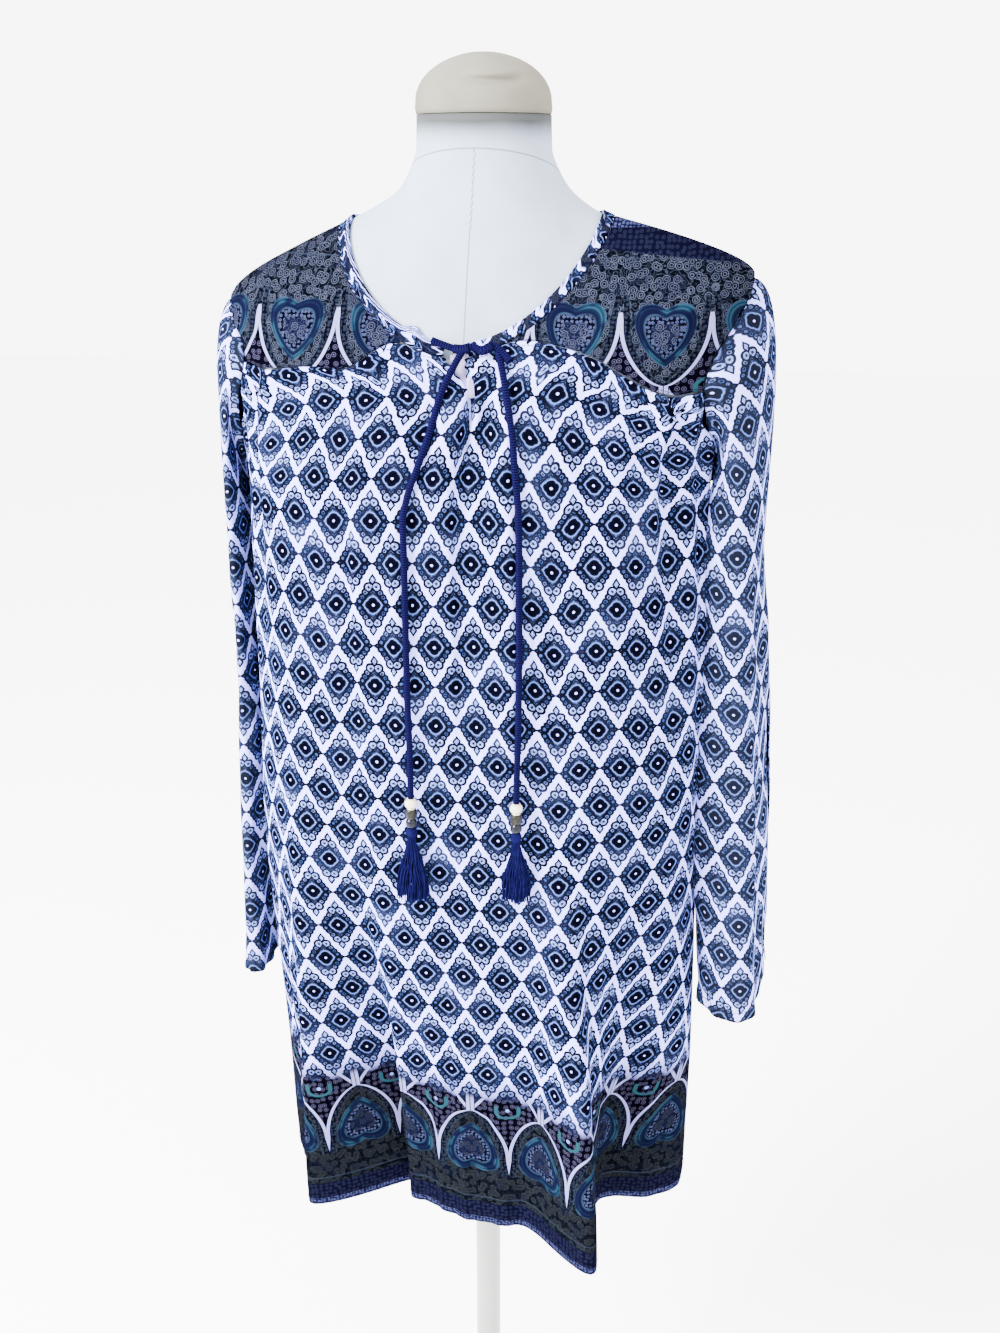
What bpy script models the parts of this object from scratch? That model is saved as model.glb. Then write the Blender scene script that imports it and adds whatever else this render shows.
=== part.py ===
"""Tunic dress with yokes and a tasselled neck tie, on a limbless dress form with a round base.

Metres, +Z up. The front faces -Y and the wearer's left is +X. The origin is the centre of the
base's underside. Cloth is a wall of even thickness on rings that run from the neckline to the hem.
"""
import math
from collections import namedtuple

import bmesh
import bpy
from mathutils import Vector

# Driving dimensions
SHOULDER_Z = 1.380          # high point of the shoulder above the floor
CLOTH = 0.0014              # wall of the tunic's cloth
BINDING = 0.0022            # wall of the folded neck binding
SEAM = 0.0005               # between the edges of two pieces of cloth
ARMHOLE_GAP = 0.0019        # between a panel's armhole edge and the sleeve's first ring
FORM_INSET = 0.0019         # from the cloth's middle to the form under it
FACING_RECESS = 0.0042      # how much further in the form lies behind the slit's facing
YOKE_RECESS = 0.0016        # how much further in it lies under the front yokes
ARMHOLE_RECESS = 0.014      # how fast the form draws in towards the shoulder tips, per level
RECESS_LEVEL = 1.65

# Levels down the tunic, as places in TUNIC_RINGS
NECK_EDGE, NECK_SEAM, SHOULDER_TIP, YOKE_SEAM, ARMPIT, HEM = 0.0, 1.0, 2.0, 3.0, 4.0, 8.0
ARMHOLE_FRONT = math.radians(24.0)   # how far the armhole cuts in from the side, at its deepest
ARMHOLE_BACK = math.radians(22.0)
ARMHOLE_ROUND = 0.8                  # exponent of the armhole's curve
SIDE = math.radians(90.0)

# The neck slit
SLIT_HALF_WIDTH = 0.0085
SLIT_BOTTOM = 1.90          # level above which the slit stands open
YOKE_START = math.radians(24.0)      # the front yokes' inner tips, from centre front
SEAM_RISE = math.radians(18.0)       # inside this angle the front panel meets the binding
SEAM_RUN = math.radians(44.0)        # angle over which the seam falls to its level at the armhole
EDGE_LEVEL = 0.03           # half gap beside the neck seam, as a share of a level

# A ring: half sizes, sideways shift, heights at centre front, side and back from the shoulder
# point, squareness, left-right tilt, and how fast the height leaves its side value (dip)
Ring = namedtuple("Ring", "name half_width front back shift z_front z_side z_back square tilt dip")
TUNIC_RINGS = (
    Ring("neck edge", 0.098, 0.096, 0.052, -0.006, -0.086, 0.002, -0.018, 2.2, 0.002, 1.5),
    Ring("neck seam", 0.107, 0.101, 0.060, -0.006, -0.095, -0.003, -0.024, 2.2, 0.003, 1.5),
    Ring("shoulder tip", 0.205, 0.111, 0.086, 0.004, -0.120, -0.050, -0.048, 2.4, 0.008, 1.5),
    Ring("yoke seam", 0.205, 0.117, 0.102, 0.000, -0.150, -0.105, -0.105, 2.6, -0.008, 2.0),
    Ring("armpit", 0.186, 0.124, 0.115, -0.006, -0.205, -0.205, -0.205, 2.8, 0.000, 2.0),
    Ring("waist", 0.189, 0.126, 0.118, -0.004, -0.350, -0.350, -0.350, 2.9, 0.000, 2.0),
    Ring("high hip", 0.192, 0.125, 0.119, -0.003, -0.520, -0.520, -0.520, 3.0, 0.000, 2.0),
    Ring("hip", 0.190, 0.123, 0.120, 0.003, -0.700, -0.700, -0.700, 3.0, 0.000, 2.0),
    Ring("hem", 0.187, 0.121, 0.120, 0.006, -0.872, -0.872, -0.872, 3.0, 0.000, 2.0),
)
SLIT_ANGLE = math.asin(SLIT_HALF_WIDTH / TUNIC_RINGS[0].front)

# Folds of the body: angle from centre front and width in degrees, depth outwards in metres.
# A fold grows from level v_in to v_full, and fades again at v_out where that is not zero.
Fold = namedtuple("Fold", "name angle width depth v_in v_full v_out")
BODY_FOLDS = (
    Fold("slit pleat ridge", -3.0, 5.0, 0.006, 1.5, 3.0, 5.6),
    Fold("slit pleat valley", 6.0, 4.5, -0.009, 1.6, 3.2, 6.2),
    Fold("right yoke gather", -54.0, 6.0, 0.005, 3.0, 3.5, 5.5),
    Fold("right yoke hollow", -66.0, 6.0, -0.005, 3.0, 3.6, 5.5),
    Fold("left yoke gather", 50.0, 6.0, 0.006, 3.0, 3.4, 5.5),
    Fold("left yoke hollow", 62.0, 5.5, -0.006, 3.0, 3.6, 6.0),
    Fold("right chest drape", -30.0, 8.0, 0.004, 3.2, 4.5, 7.0),
    Fold("left chest drape", 27.0, 8.0, -0.004, 3.2, 4.5, 7.0),
    Fold("right hem corner", -51.0, 5.0, 0.032, 5.0, 8.0, 0.0),
    Fold("right hem hollow", -41.0, 7.0, -0.048, 5.2, 8.0, 0.0),
    Fold("right hem dip", -25.0, 12.0, -0.019, 5.8, 8.0, 0.0),
    Fold("left hem drop", 33.5, 6.5, 0.062, 5.4, 8.0, 0.0),
    Fold("left hem recess", 58.0, 12.0, -0.040, 5.4, 8.0, 0.0),
    Fold("left hem corner", 75.0, 8.0, 0.004, 5.4, 8.0, 0.0),
    Fold("back left swell", 118.0, 11.0, 0.012, 4.5, 8.0, 0.0),
    Fold("back left hollow", 142.0, 12.0, -0.030, 4.6, 8.0, 0.0),
    Fold("back centre pleat", 176.0, 12.0, 0.026, 4.2, 8.0, 0.0),
    Fold("back right hollow", 212.0, 12.0, -0.034, 4.6, 8.0, 0.0),
    Fold("back right swell", 238.0, 11.0, 0.012, 4.5, 8.0, 0.0),
)

# Sections of the sleeves below the armhole: place of the centre, half sizes, and how much the
# section climbs towards the back. z is measured from the high point of the shoulder.
Section = namedtuple("Section", "z x y half_x half_y climb")
SLEEVES = {
    "left": (1.0, (
        Section(-0.250, 0.208, 0.004, 0.022, 0.076, 0.00),
        Section(-0.350, 0.214, 0.006, 0.025, 0.074, 0.04),
        Section(-0.450, 0.220, 0.008, 0.027, 0.071, 0.10),
        Section(-0.560, 0.226, 0.008, 0.028, 0.068, 0.22),
        Section(-0.650, 0.231, 0.006, 0.028, 0.065, 0.36),
    )),
    "right": (-1.0, (
        Section(-0.250, -0.2065, 0.022, 0.0095, 0.070, 0.00),
        Section(-0.350, -0.2080, 0.024, 0.0108, 0.068, 0.02),
        Section(-0.450, -0.2110, 0.024, 0.0125, 0.066, 0.04),
        Section(-0.570, -0.2140, 0.020, 0.0140, 0.064, 0.07),
        Section(-0.668, -0.2150, 0.014, 0.0150, 0.062, 0.10),
    )),
}
SLEEVE_ROUND = 0.86         # exponent of the sections' outline, 1 is an ellipse
SleeveFold = namedtuple("SleeveFold", "name side angle width depth z_full")
SLEEVE_FOLDS = (
    SleeveFold("outer crease", "left", 38.0, 22.0, -0.007, -0.40),
    SleeveFold("front ridge", "left", 80.0, 24.0, 0.006, -0.50),
    SleeveFold("inner crease", "right", 30.0, 24.0, -0.004, -0.42),
)

# The form, from the base of its neck to its underside
FORM_NECK_RINGS = (
    Ring("neck top", 0.0512, 0.0512, 0.0512, 0.000, 0.072, 0.072, 0.072, 2.0, 0.000, 1.0),
    Ring("neck", 0.0520, 0.0520, 0.0525, 0.000, 0.052, 0.047, 0.052, 2.0, 0.000, 1.0),
    Ring("neck foot", 0.0640, 0.0600, 0.0500, 0.000, 0.020, 0.022, 0.030, 2.0, 0.000, 1.0),
    Ring("neck slope", 0.0810, 0.0790, 0.0510, -0.003, -0.035, 0.009, 0.004, 2.1, 0.001, 1.3),
)
FORM_BODY_RINGS = (
    Ring("upper chest", 0.1840, 0.1060, 0.0910, 0.000, -0.162, -0.112, -0.118, 2.4, 0.000, 2.0),
    Ring("chest", 0.1630, 0.1130, 0.1020, -0.002, -0.210, -0.210, -0.210, 2.4, 0.000, 1.0),
    Ring("waist", 0.1280, 0.0900, 0.0850, -0.002, -0.400, -0.400, -0.400, 2.2, 0.000, 1.0),
    Ring("hip", 0.1600, 0.0980, 0.1040, 0.000, -0.590, -0.590, -0.590, 2.3, 0.000, 1.0),
    Ring("underside", 0.1540, 0.0920, 0.0980, 0.000, -0.660, -0.660, -0.660, 2.3, 0.000, 1.0),
)
COVER_LOW, COVER_TOP = 0.0723, 0.116     # neck cover, above the high point of the shoulder
COVER_RADIUS = 0.0515
POLE_RADIUS = 0.0125
FLANGE_RADIUS, FLANGE_HEIGHT = 0.045, 0.008
BASE_RADIUS, BASE_HEIGHT = 0.190, 0.024
REST_GAP = 0.0003

# The tie: places on the front as x and z, z from the high point of the shoulder
CORD_RADIUS = 0.0020
Route = namedtuple("Route", "x z off")
KNOT_ROUTE = (
    Route(-0.0230, -0.0830, 0.0064), Route(-0.0110, -0.0870, 0.0064), Route(0.0000, -0.0895, 0.0070),
    Route(0.0080, -0.0865, 0.0086), Route(0.0160, -0.0895, 0.0090), Route(0.0230, -0.0860, 0.0086),
    Route(0.0300, -0.0900, 0.0070), Route(0.0360, -0.0960, 0.0064),
)
TAIL_ROUTES = {
    "right": (
        Route(-0.0020, -0.0925, 0.0068), Route(-0.0065, -0.1022, 0.0058), Route(-0.0145, -0.1205, 0.0044),
        Route(-0.0214, -0.1449, 0.0036), Route(-0.0313, -0.1733, 0.0034), Route(-0.0391, -0.1956, 0.0034),
        Route(-0.0424, -0.2150, 0.0036), Route(-0.0420, -0.2466, 0.0040), Route(-0.0417, -0.3020, 0.0052),
        Route(-0.0414, -0.3512, 0.0062), Route(-0.0402, -0.4050, 0.0080), Route(-0.0400, -0.4382, 0.0095),
    ),
    "left": (
        Route(0.0278, -0.0929, 0.0068), Route(0.0318, -0.1078, 0.0056), Route(0.0354, -0.1262, 0.0048),
        Route(0.0398, -0.1543, 0.0036), Route(0.0414, -0.1733, 0.0034), Route(0.0444, -0.2061, 0.0034),
        Route(0.0452, -0.2400, 0.0038), Route(0.0455, -0.2701, 0.0046), Route(0.0460, -0.3200, 0.0054),
        Route(0.0460, -0.3600, 0.0064), Route(0.0454, -0.4050, 0.0080), Route(0.0450, -0.4376, 0.0095),
    ),
}
WHITE_BEAD = 0.0052                      # radius
METAL_BEAD, METAL_HEIGHT = 0.0050, 0.0084
DARK_BEAD, DARK_HEIGHT = 0.0046, 0.0074
HEAD_RADIUS, HEAD_HEIGHT = 0.0045, 0.0088
STRAND_RINGS = ((0.0, 1), (0.36, 6), (0.68, 10), (1.0, 14))   # share of the radius, strands
TASSEL_SPREADS = {"right": (0.0142, 0.0600), "left": (0.0125, 0.0560)}   # half width, skirt length
TASSEL_DEPTH = 0.0070                    # half depth of the skirt
STRAND_TOP, STRAND_TIP = 0.00042, 0.00080

# Mesh fineness
ARMHOLE_STEPS = 10          # from the shoulder tip to the armpit, shared by panels and sleeves
ARMHOLE_MARGIN = 0.040      # level kept between the sleeve's first ring and the armhole's ends
FRONT_COLUMNS, BACK_COLUMNS = 44, 24
SKIRT_ROWS = 9
YOKE_COLUMNS = 9
CAP_ROWS, ARM_ROWS = 4, 6
BEAD_SIDES = 12


def clear_scene():
    """Remove every object."""
    for thing in list(bpy.data.objects):
        bpy.data.objects.remove(thing, do_unlink=True)


def make_material(name, colour, roughness, metallic=0.0):
    """A Principled material."""
    material = bpy.data.materials.new(name)
    material.use_nodes = True
    shader = material.node_tree.nodes["Principled BSDF"]
    shader.inputs["Base Color"].default_value = (*colour, 1.0)
    shader.inputs["Roughness"].default_value = roughness
    shader.inputs["Metallic"].default_value = metallic
    return material


def ease(x):
    """0 to 1 with level ends."""
    x = min(max(x, 0.0), 1.0)
    return x * x * (3.0 - 2.0 * x)


def between(values, v):
    """A curve through evenly spaced values that never overshoots them, read at place v."""
    last = len(values) - 1
    v = min(max(v, 0.0), float(last))
    i = min(int(v), last - 1)
    steps = [b - a for a, b in zip(values, values[1:])]

    def slope(k):
        if k == 0:
            return steps[0]
        if k == last:
            return steps[-1]
        before, after = steps[k - 1], steps[k]
        if before * after <= 0.0:
            return 0.0
        return 2.0 * before * after / (before + after)

    t = v - i
    a, b = values[i], values[i + 1]
    start, end = slope(i), slope(i + 1)
    rise = b - a
    return a + t * start + t * t * (3.0 * rise - 2.0 * start - end) + t ** 3 * (start + end - 2.0 * rise)


def ring_at(rings, v):
    """The ring at place v in a table of rings."""
    sizes = [between([ring[k] for ring in rings], v) for k in range(1, len(Ring._fields))]
    return Ring("between", *sizes)


def ring_point(ring, angle, out=0.0):
    """A point of a ring, by its angle from centre front towards the wearer's left."""
    s, c = math.sin(angle), math.cos(angle)
    depth, z_mid = (ring.front, ring.z_front) if c >= 0.0 else (ring.back, ring.z_back)
    n = ring.square
    radius = ((abs(s) / ring.half_width) ** n + (abs(c) / depth) ** n) ** (-1.0 / n) + out
    z = ring.z_side + (z_mid - ring.z_side) * abs(c) ** ring.dip + ring.tilt * s
    return Vector((ring.shift + radius * s, -radius * c, SHOULDER_Z + z))


def fold_depth(angle, v):
    """How far the folds push the body's cloth outwards."""
    degrees = math.degrees(angle) % 360.0
    total = 0.0
    for fold in BODY_FOLDS:
        away = (degrees - fold.angle + 180.0) % 360.0 - 180.0
        grow = ease((v - fold.v_in) / (fold.v_full - fold.v_in))
        if fold.v_out:
            grow *= 1.0 - ease((v - fold.v_full) / (fold.v_out - fold.v_full))
        total += fold.depth * grow * math.exp(-(away / fold.width) ** 2)
    return total


def tunic_point(angle, v):
    """The middle of the tunic's cloth at an angle and level."""
    return ring_point(ring_at(TUNIC_RINGS, v), angle, fold_depth(angle, v))


def panel_edge(v, depth):
    """Angle of a panel's side edge: the side seam, cut in by the armhole."""
    if v <= SHOULDER_TIP or v >= ARMPIT:
        return SIDE
    share = (v - SHOULDER_TIP) / (ARMPIT - SHOULDER_TIP)
    return SIDE - depth * math.sin(math.pi * share) ** ARMHOLE_ROUND


def seam_level(angle):
    """Level of the seam between the front panel and what it hangs from, the yokes or the binding."""
    fall = ease((abs(angle) - SEAM_RISE) / SEAM_RUN)
    start = NECK_SEAM + EDGE_LEVEL
    return start + (YOKE_SEAM - start) * fall


def panel_level(angle, v):
    """Level of a front panel's point: its rows above the armpit spread up to the seam."""
    if v >= ARMPIT:
        return v
    return ARMPIT - (ARMPIT - v) * (ARMPIT - seam_level(angle)) / (ARMPIT - YOKE_SEAM)


def seam_angle(v):
    """The angle that half a seam gap takes at a level's side."""
    return 0.5 * SEAM / ring_at(TUNIC_RINGS, v).half_width


def front_y(x, z):
    """Depth of the front cloth at a place given by x and by z from the shoulder point."""
    low, high = NECK_EDGE, HEM
    angle = 0.0
    for _ in range(40):
        v = 0.5 * (low + high)
        ring = ring_at(TUNIC_RINGS, v)
        for _ in range(6):
            point = ring_point(ring, angle, fold_depth(angle, v))
            angle += (x - point.x) / max(0.05, -point.y)
        if point.z - SHOULDER_Z > z:
            low = v
        else:
            high = v
    return point.y


def add_object(name, mesh, material, collection):
    """Put a mesh in the collection as a named object."""
    thing = bpy.data.objects.new(name, mesh)
    mesh.materials.append(material)
    collection.objects.link(thing)
    return thing


def loft_mesh(name, rows, closed=False, caps=False):
    """Faces between rows of points. Rows run downwards, points from -X to +X across the front."""
    mesh_tool = bmesh.new()
    vertex_rows = [[mesh_tool.verts.new(point) for point in row] for row in rows]
    for upper, lower in zip(vertex_rows, vertex_rows[1:]):
        count = len(upper)
        for j in range(count if closed else count - 1):
            k = (j + 1) % count
            mesh_tool.faces.new((upper[j], lower[j], lower[k], upper[k]))
    if caps:
        mesh_tool.faces.new(vertex_rows[0])
        mesh_tool.faces.new(list(reversed(vertex_rows[-1])))
    mesh = bpy.data.meshes.new(name)
    mesh_tool.to_mesh(mesh)
    mesh_tool.free()
    mesh.shade_smooth()
    return mesh


def add_wall(thing, thickness):
    """Thicken an open sheet evenly to both sides."""
    wall = thing.modifiers.new("wall", "SOLIDIFY")
    wall.thickness = thickness
    wall.offset = 0.0


def armhole_level(step):
    """Level of a step down the armhole, 0 at the shoulder tip."""
    reach = ARMPIT - SHOULDER_TIP - 2 * ARMHOLE_MARGIN
    return SHOULDER_TIP + ARMHOLE_MARGIN + reach * step / ARMHOLE_STEPS


def body_levels():
    """Levels of a body panel's rows: down the armhole, then down the skirt."""
    levels = [armhole_level(k) for k in range(ARMHOLE_STEPS // 2, ARMHOLE_STEPS + 1)]
    return levels + [ARMPIT + (HEM - ARMPIT) * k / SKIRT_ROWS for k in range(SKIRT_ROWS + 1)]


def yoke_levels(lowest):
    """Levels of a yoke's rows: along the shoulder seam, then down the armhole."""
    levels = [NECK_SEAM + 0.03, 0.5 * (NECK_SEAM + SHOULDER_TIP), SHOULDER_TIP]
    return levels + [armhole_level(k) for k in range(ARMHOLE_STEPS // 2)] + [lowest]


def front_body_mesh():
    """The front panel, with the neck slit open at its top centre."""
    levels = body_levels()
    slit_rows = sum(1 for v in levels if panel_level(0.0, v) < SLIT_BOTTOM)
    half = FRONT_COLUMNS // 2
    mesh_tool = bmesh.new()
    ids = []
    for i, v in enumerate(levels):
        edge = panel_edge(v, ARMHOLE_FRONT) - seam_angle(v)
        angles = [edge * (j - half) / half for j in range(FRONT_COLUMNS + 1)]
        row = [tunic_point(angle, panel_level(angle, v)) for angle in angles]
        left, right = list(row), list(row)
        if i < slit_rows:
            open_half = SLIT_HALF_WIDTH * (1.0 - i / slit_rows)
            left[half] = row[half] - Vector((open_half, 0.0, 0.0))
            right[half] = row[half] + Vector((open_half, 0.0, 0.0))
        vertices = [mesh_tool.verts.new(point) for point in left]
        centre = mesh_tool.verts.new(right[half]) if i < slit_rows else vertices[half]
        ids.append((vertices, centre))
    for (upper, upper_mid), (lower, lower_mid) in zip(ids, ids[1:]):
        for j in range(FRONT_COLUMNS):
            a, b = (upper[j], lower[j]) if j != half else (upper_mid, lower_mid)
            mesh_tool.faces.new((a, b, lower[j + 1], upper[j + 1]))
    mesh = bpy.data.meshes.new("front_body")
    mesh_tool.to_mesh(mesh)
    mesh_tool.free()
    mesh.shade_smooth()
    return mesh


def back_body_mesh():
    """The back panel, from the back yoke's seam to the hem."""
    rows = []
    for v in body_levels():
        reach = panel_edge(v, ARMHOLE_BACK) - seam_angle(v)
        rows.append([tunic_point(math.pi + reach * (2 * j / BACK_COLUMNS - 1), v)
                     for j in range(BACK_COLUMNS + 1)])
    return loft_mesh("back_body", rows)


def front_yoke_mesh(side):
    """A front yoke: from the binding to the yoke seam, and from the slit's side to the armhole."""
    rows = []
    top, low = NECK_SEAM + EDGE_LEVEL, YOKE_SEAM - EDGE_LEVEL
    for v in yoke_levels(low):
        edge = panel_edge(v, ARMHOLE_FRONT) - seam_angle(v)
        angles = [side * (YOKE_START + (edge - YOKE_START) * j / YOKE_COLUMNS)
                  for j in range(YOKE_COLUMNS + 1)]
        if side < 0:
            angles.reverse()
        row = []
        for angle in angles:
            level = top + (v - top) * (seam_level(angle) - EDGE_LEVEL - top) / (low - top)
            row.append(ring_point(ring_at(TUNIC_RINGS, level), angle))
        rows.append(row)
    return loft_mesh("front_yoke", rows)


def back_yoke_mesh():
    """The back yoke, in one piece between the shoulder seams."""
    rows = []
    columns = 2 * YOKE_COLUMNS
    for v in yoke_levels(YOKE_SEAM - 0.02):
        reach = panel_edge(v, ARMHOLE_BACK) - seam_angle(v)
        rows.append([ring_point(ring_at(TUNIC_RINGS, v), math.pi + reach * (2 * j / columns - 1))
                     for j in range(columns + 1)])
    return loft_mesh("back_yoke", rows)


def shoulder_angles():
    """Angles of the columns round the shoulders, from one side of the slit to the other."""
    front = [SLIT_ANGLE, 0.5 * (SLIT_ANGLE + YOKE_START)]
    front += [YOKE_START + (SIDE - YOKE_START) * j / YOKE_COLUMNS for j in range(YOKE_COLUMNS)]
    back = [SIDE + math.pi * j / (2 * YOKE_COLUMNS) for j in range(2 * YOKE_COLUMNS + 1)]
    return front + back + [2 * math.pi - angle for angle in reversed(front)]


def binding_mesh():
    """The casing round the neck, open at the slit."""
    rows = []
    for v in (NECK_EDGE, 0.5 * NECK_SEAM, NECK_SEAM - 0.04):
        ring = ring_at(TUNIC_RINGS, v)
        rows.append([ring_point(ring, angle) for angle in shoulder_angles()])
    return loft_mesh("neck_binding", rows)


def facing_mesh():
    """The pale strip behind the slit."""
    rows = []
    half = SLIT_HALF_WIDTH + 0.002
    for z, back in ((-0.0940, 0.0042), (-0.1020, 0.0040), (-0.1120, 0.0030), (-0.1230, 0.0026)):
        rows.append([Vector((x, front_y(x, z) + back, SHOULDER_Z + z)) for x in (-half, -half / 3, half / 3, half)])
    return loft_mesh("slit_facing", rows)


def section_at(sections, v):
    """A sleeve's section at place v in its table."""
    return Section(*[between([row[k] for row in sections], v) for k in range(len(Section._fields))])


def signed_power(value, power):
    """A power that keeps the sign."""
    return math.copysign(abs(value) ** power, value)


def sleeve_point(side_name, phi, v):
    """A point of a hanging sleeve: phi is 0 outwards, 90 degrees to the front."""
    side, sections = SLEEVES[side_name]
    section = section_at(sections, v)
    push = 0.0
    for fold in SLEEVE_FOLDS:
        if fold.side == side_name:
            away = (math.degrees(phi) - fold.angle + 180.0) % 360.0 - 180.0
            grow = ease((section.z + 0.20) / (fold.z_full + 0.20))
            push += fold.depth * grow * math.exp(-(away / fold.width) ** 2)
    x = (section.half_x + push) * signed_power(math.cos(phi), SLEEVE_ROUND)
    y = -section.half_y * signed_power(math.sin(phi), SLEEVE_ROUND)
    z = section.z + section.climb * y
    return Vector((section.x + side * x, section.y + y, SHOULDER_Z + z))


def armhole_point(side, j):
    """A point of the armhole, just inside the panels' edges: j runs down the front, up the back."""
    step = j if j <= ARMHOLE_STEPS else 2 * ARMHOLE_STEPS - j
    depth = ARMHOLE_FRONT if j <= ARMHOLE_STEPS else ARMHOLE_BACK
    v = armhole_level(step)
    angle = panel_edge(v, depth) + ARMHOLE_GAP / ring_at(TUNIC_RINGS, v).half_width
    if step in (0, ARMHOLE_STEPS):
        angle = SIDE
    if j > ARMHOLE_STEPS:
        angle = math.pi - angle
    return ring_point(ring_at(TUNIC_RINGS, v), side * angle)


def sleeve_mesh(side_name):
    """A set-in sleeve: a cap that bends down from the armhole, then a hanging tube."""
    side = SLEEVES[side_name][0]
    last = len(SLEEVES[side_name][1]) - 1
    angles = [math.pi * j / ARMHOLE_STEPS for j in range(2 * ARMHOLE_STEPS)]
    rows = []
    for i in range(CAP_ROWS):
        t = i / CAP_ROWS
        row = []
        for j, phi in enumerate(angles):
            start, end = armhole_point(side, j), sleeve_point(side_name, phi, 0.0)
            lift = 0.5 * (1.0 + math.cos(phi))
            out = Vector((side, 0.0, 0.2 - 0.4 * lift)) * (0.017 + 0.012 * lift)
            up = Vector((0.0, 0.0, 0.4 * (start.z - end.z)))
            row.append(start * (1 - t) ** 3 + (start + out) * 3 * t * (1 - t) ** 2
                       + (end + up) * 3 * t * t * (1 - t) + end * t ** 3)
        rows.append(row)
    for i in range(ARM_ROWS + 1):
        rows.append([sleeve_point(side_name, phi, last * i / ARM_ROWS) for phi in angles])
    if side < 0:
        rows = [list(reversed(row)) for row in rows]
    rows = [list(reversed(row)) for row in rows]
    return loft_mesh("sleeve", rows, closed=True)


def form_torso_mesh():
    """The limbless form: its neck, the shoulders that carry the tunic, and a plain torso."""
    angles = [0.0] + shoulder_angles()
    rows = [[ring_point(ring, angle) for angle in angles] for ring in FORM_NECK_RINGS]
    for v in (0.0, 0.5, 1.0, 1.5, 2.0, 2.3):
        row = []
        for angle in angles:
            here = ring_point(ring_at(TUNIC_RINGS, v), angle)
            along = ring_point(ring_at(TUNIC_RINGS, v), angle + 0.01) - here
            down = ring_point(ring_at(TUNIC_RINGS, v + 0.01), angle) - here
            centre = math.exp(-(min(angle, 2 * math.pi - angle) / math.radians(16.0)) ** 2)
            recess = ARMHOLE_RECESS * max(0.0, v - RECESS_LEVEL)
            front = YOKE_RECESS * ease(v) * max(0.0, math.cos(angle))
            inset = FORM_INSET + FACING_RECESS * ease(v) * centre + recess + front
            row.append(here - down.cross(along).normalized() * inset)
        rows.append(row)
    for v in (0.0, 0.5, 1.0, 1.5, 2.0, 3.0, 4.0):
        ring = ring_at(FORM_BODY_RINGS, v)
        rows.append([ring_point(ring, angle) for angle in angles])
    return loft_mesh("form_torso", rows, closed=True, caps=True)


def turned_mesh(name, profile, steps=20):
    """A solid turned about the Z axis, from a profile that runs down its outer side."""
    mesh_tool = bmesh.new()
    rings = []
    for radius, z in profile:
        count = steps if radius > 1e-6 else 1
        rings.append([mesh_tool.verts.new((radius * math.cos(2 * math.pi * k / steps),
                                           radius * math.sin(2 * math.pi * k / steps), z))
                      for k in range(count)])
    for upper, lower in zip(rings, rings[1:]):
        for k in range(steps):
            m = (k + 1) % steps
            corners = [upper[k % len(upper)], lower[k % len(lower)], lower[m % len(lower)], upper[m % len(upper)]]
            mesh_tool.faces.new(list(dict.fromkeys(corners)))
    mesh = bpy.data.meshes.new(name)
    mesh_tool.to_mesh(mesh)
    mesh_tool.free()
    mesh.shade_smooth()
    return mesh


def round_profile(radius, height, bulge, steps=4):
    """Profile of a bead: flat ends and a side that bulges."""
    points = [(0.0, 0.5 * height)]
    for k in range(steps + 1):
        t = -1.0 + 2.0 * k / steps
        side = radius - bulge * t * t
        points.append((side, -0.5 * height * t))
    points.append((0.0, -0.5 * height))
    return points


def smooth_route(points, count):
    """Evenly shared points on a smooth curve through a hand-chosen route."""
    result = []
    last = len(points) - 1
    for k in range(count):
        v = last * k / (count - 1)
        result.append(Vector([between([point[axis] for point in points], v) for axis in range(3)]))
    return result


def add_cord(name, points, material, collection):
    """A cord as a round tube with filled ends."""
    curve = bpy.data.curves.new(name, "CURVE")
    curve.dimensions = "3D"
    spline = curve.splines.new("POLY")
    spline.points.add(len(points) - 1)
    for vertex, point in zip(spline.points, points):
        vertex.co = (*point, 1.0)
    curve.bevel_depth = CORD_RADIUS
    curve.bevel_resolution = 2
    curve.use_fill_caps = True
    curve.materials.append(material)
    thing = bpy.data.objects.new(name, curve)
    collection.objects.link(thing)
    return thing


def route_points(route):
    """Places of a route in front of the tunic's cloth."""
    return [Vector((stop.x, front_y(stop.x, stop.z) - stop.off, SHOULDER_Z + stop.z)) for stop in route]


def strands_mesh(half_width, length):
    """Tassel strands: three-sided, tapered, parted from each other all the way."""
    mesh_tool = bmesh.new()
    stations = ((0.0, 0.0026, 0.0026), (0.16, 0.0058, 0.0046), (0.5, 0.86 * half_width, 0.92 * TASSEL_DEPTH),
                (1.0, half_width, TASSEL_DEPTH))
    for share, count in STRAND_RINGS:
        for k in range(count):
            alpha = 2 * math.pi * (k + 0.5 * share) / count
            rings = []
            for t, wide, deep in stations:
                thick = STRAND_TOP + (STRAND_TIP - STRAND_TOP) * t
                sway = 0.0012 * math.sin(5.0 * t)
                centre = Vector((share * wide * math.cos(alpha) + sway, share * deep * math.sin(alpha),
                                 0.0020 - (length + 0.0020) * t))
                rings.append([mesh_tool.verts.new(centre + Vector((thick * math.cos(beta), thick * math.sin(beta), 0)))
                              for beta in (0.5, 0.5 + 2 * math.pi / 3, 0.5 + 4 * math.pi / 3)])
            for upper, lower in zip(rings, rings[1:]):
                for j in range(3):
                    m = (j + 1) % 3
                    mesh_tool.faces.new((upper[j], lower[j], lower[m], upper[m]))
            mesh_tool.faces.new(rings[0])
            mesh_tool.faces.new(list(reversed(rings[-1])))
    mesh = bpy.data.meshes.new("strands")
    mesh_tool.to_mesh(mesh)
    mesh_tool.free()
    return mesh


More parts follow.
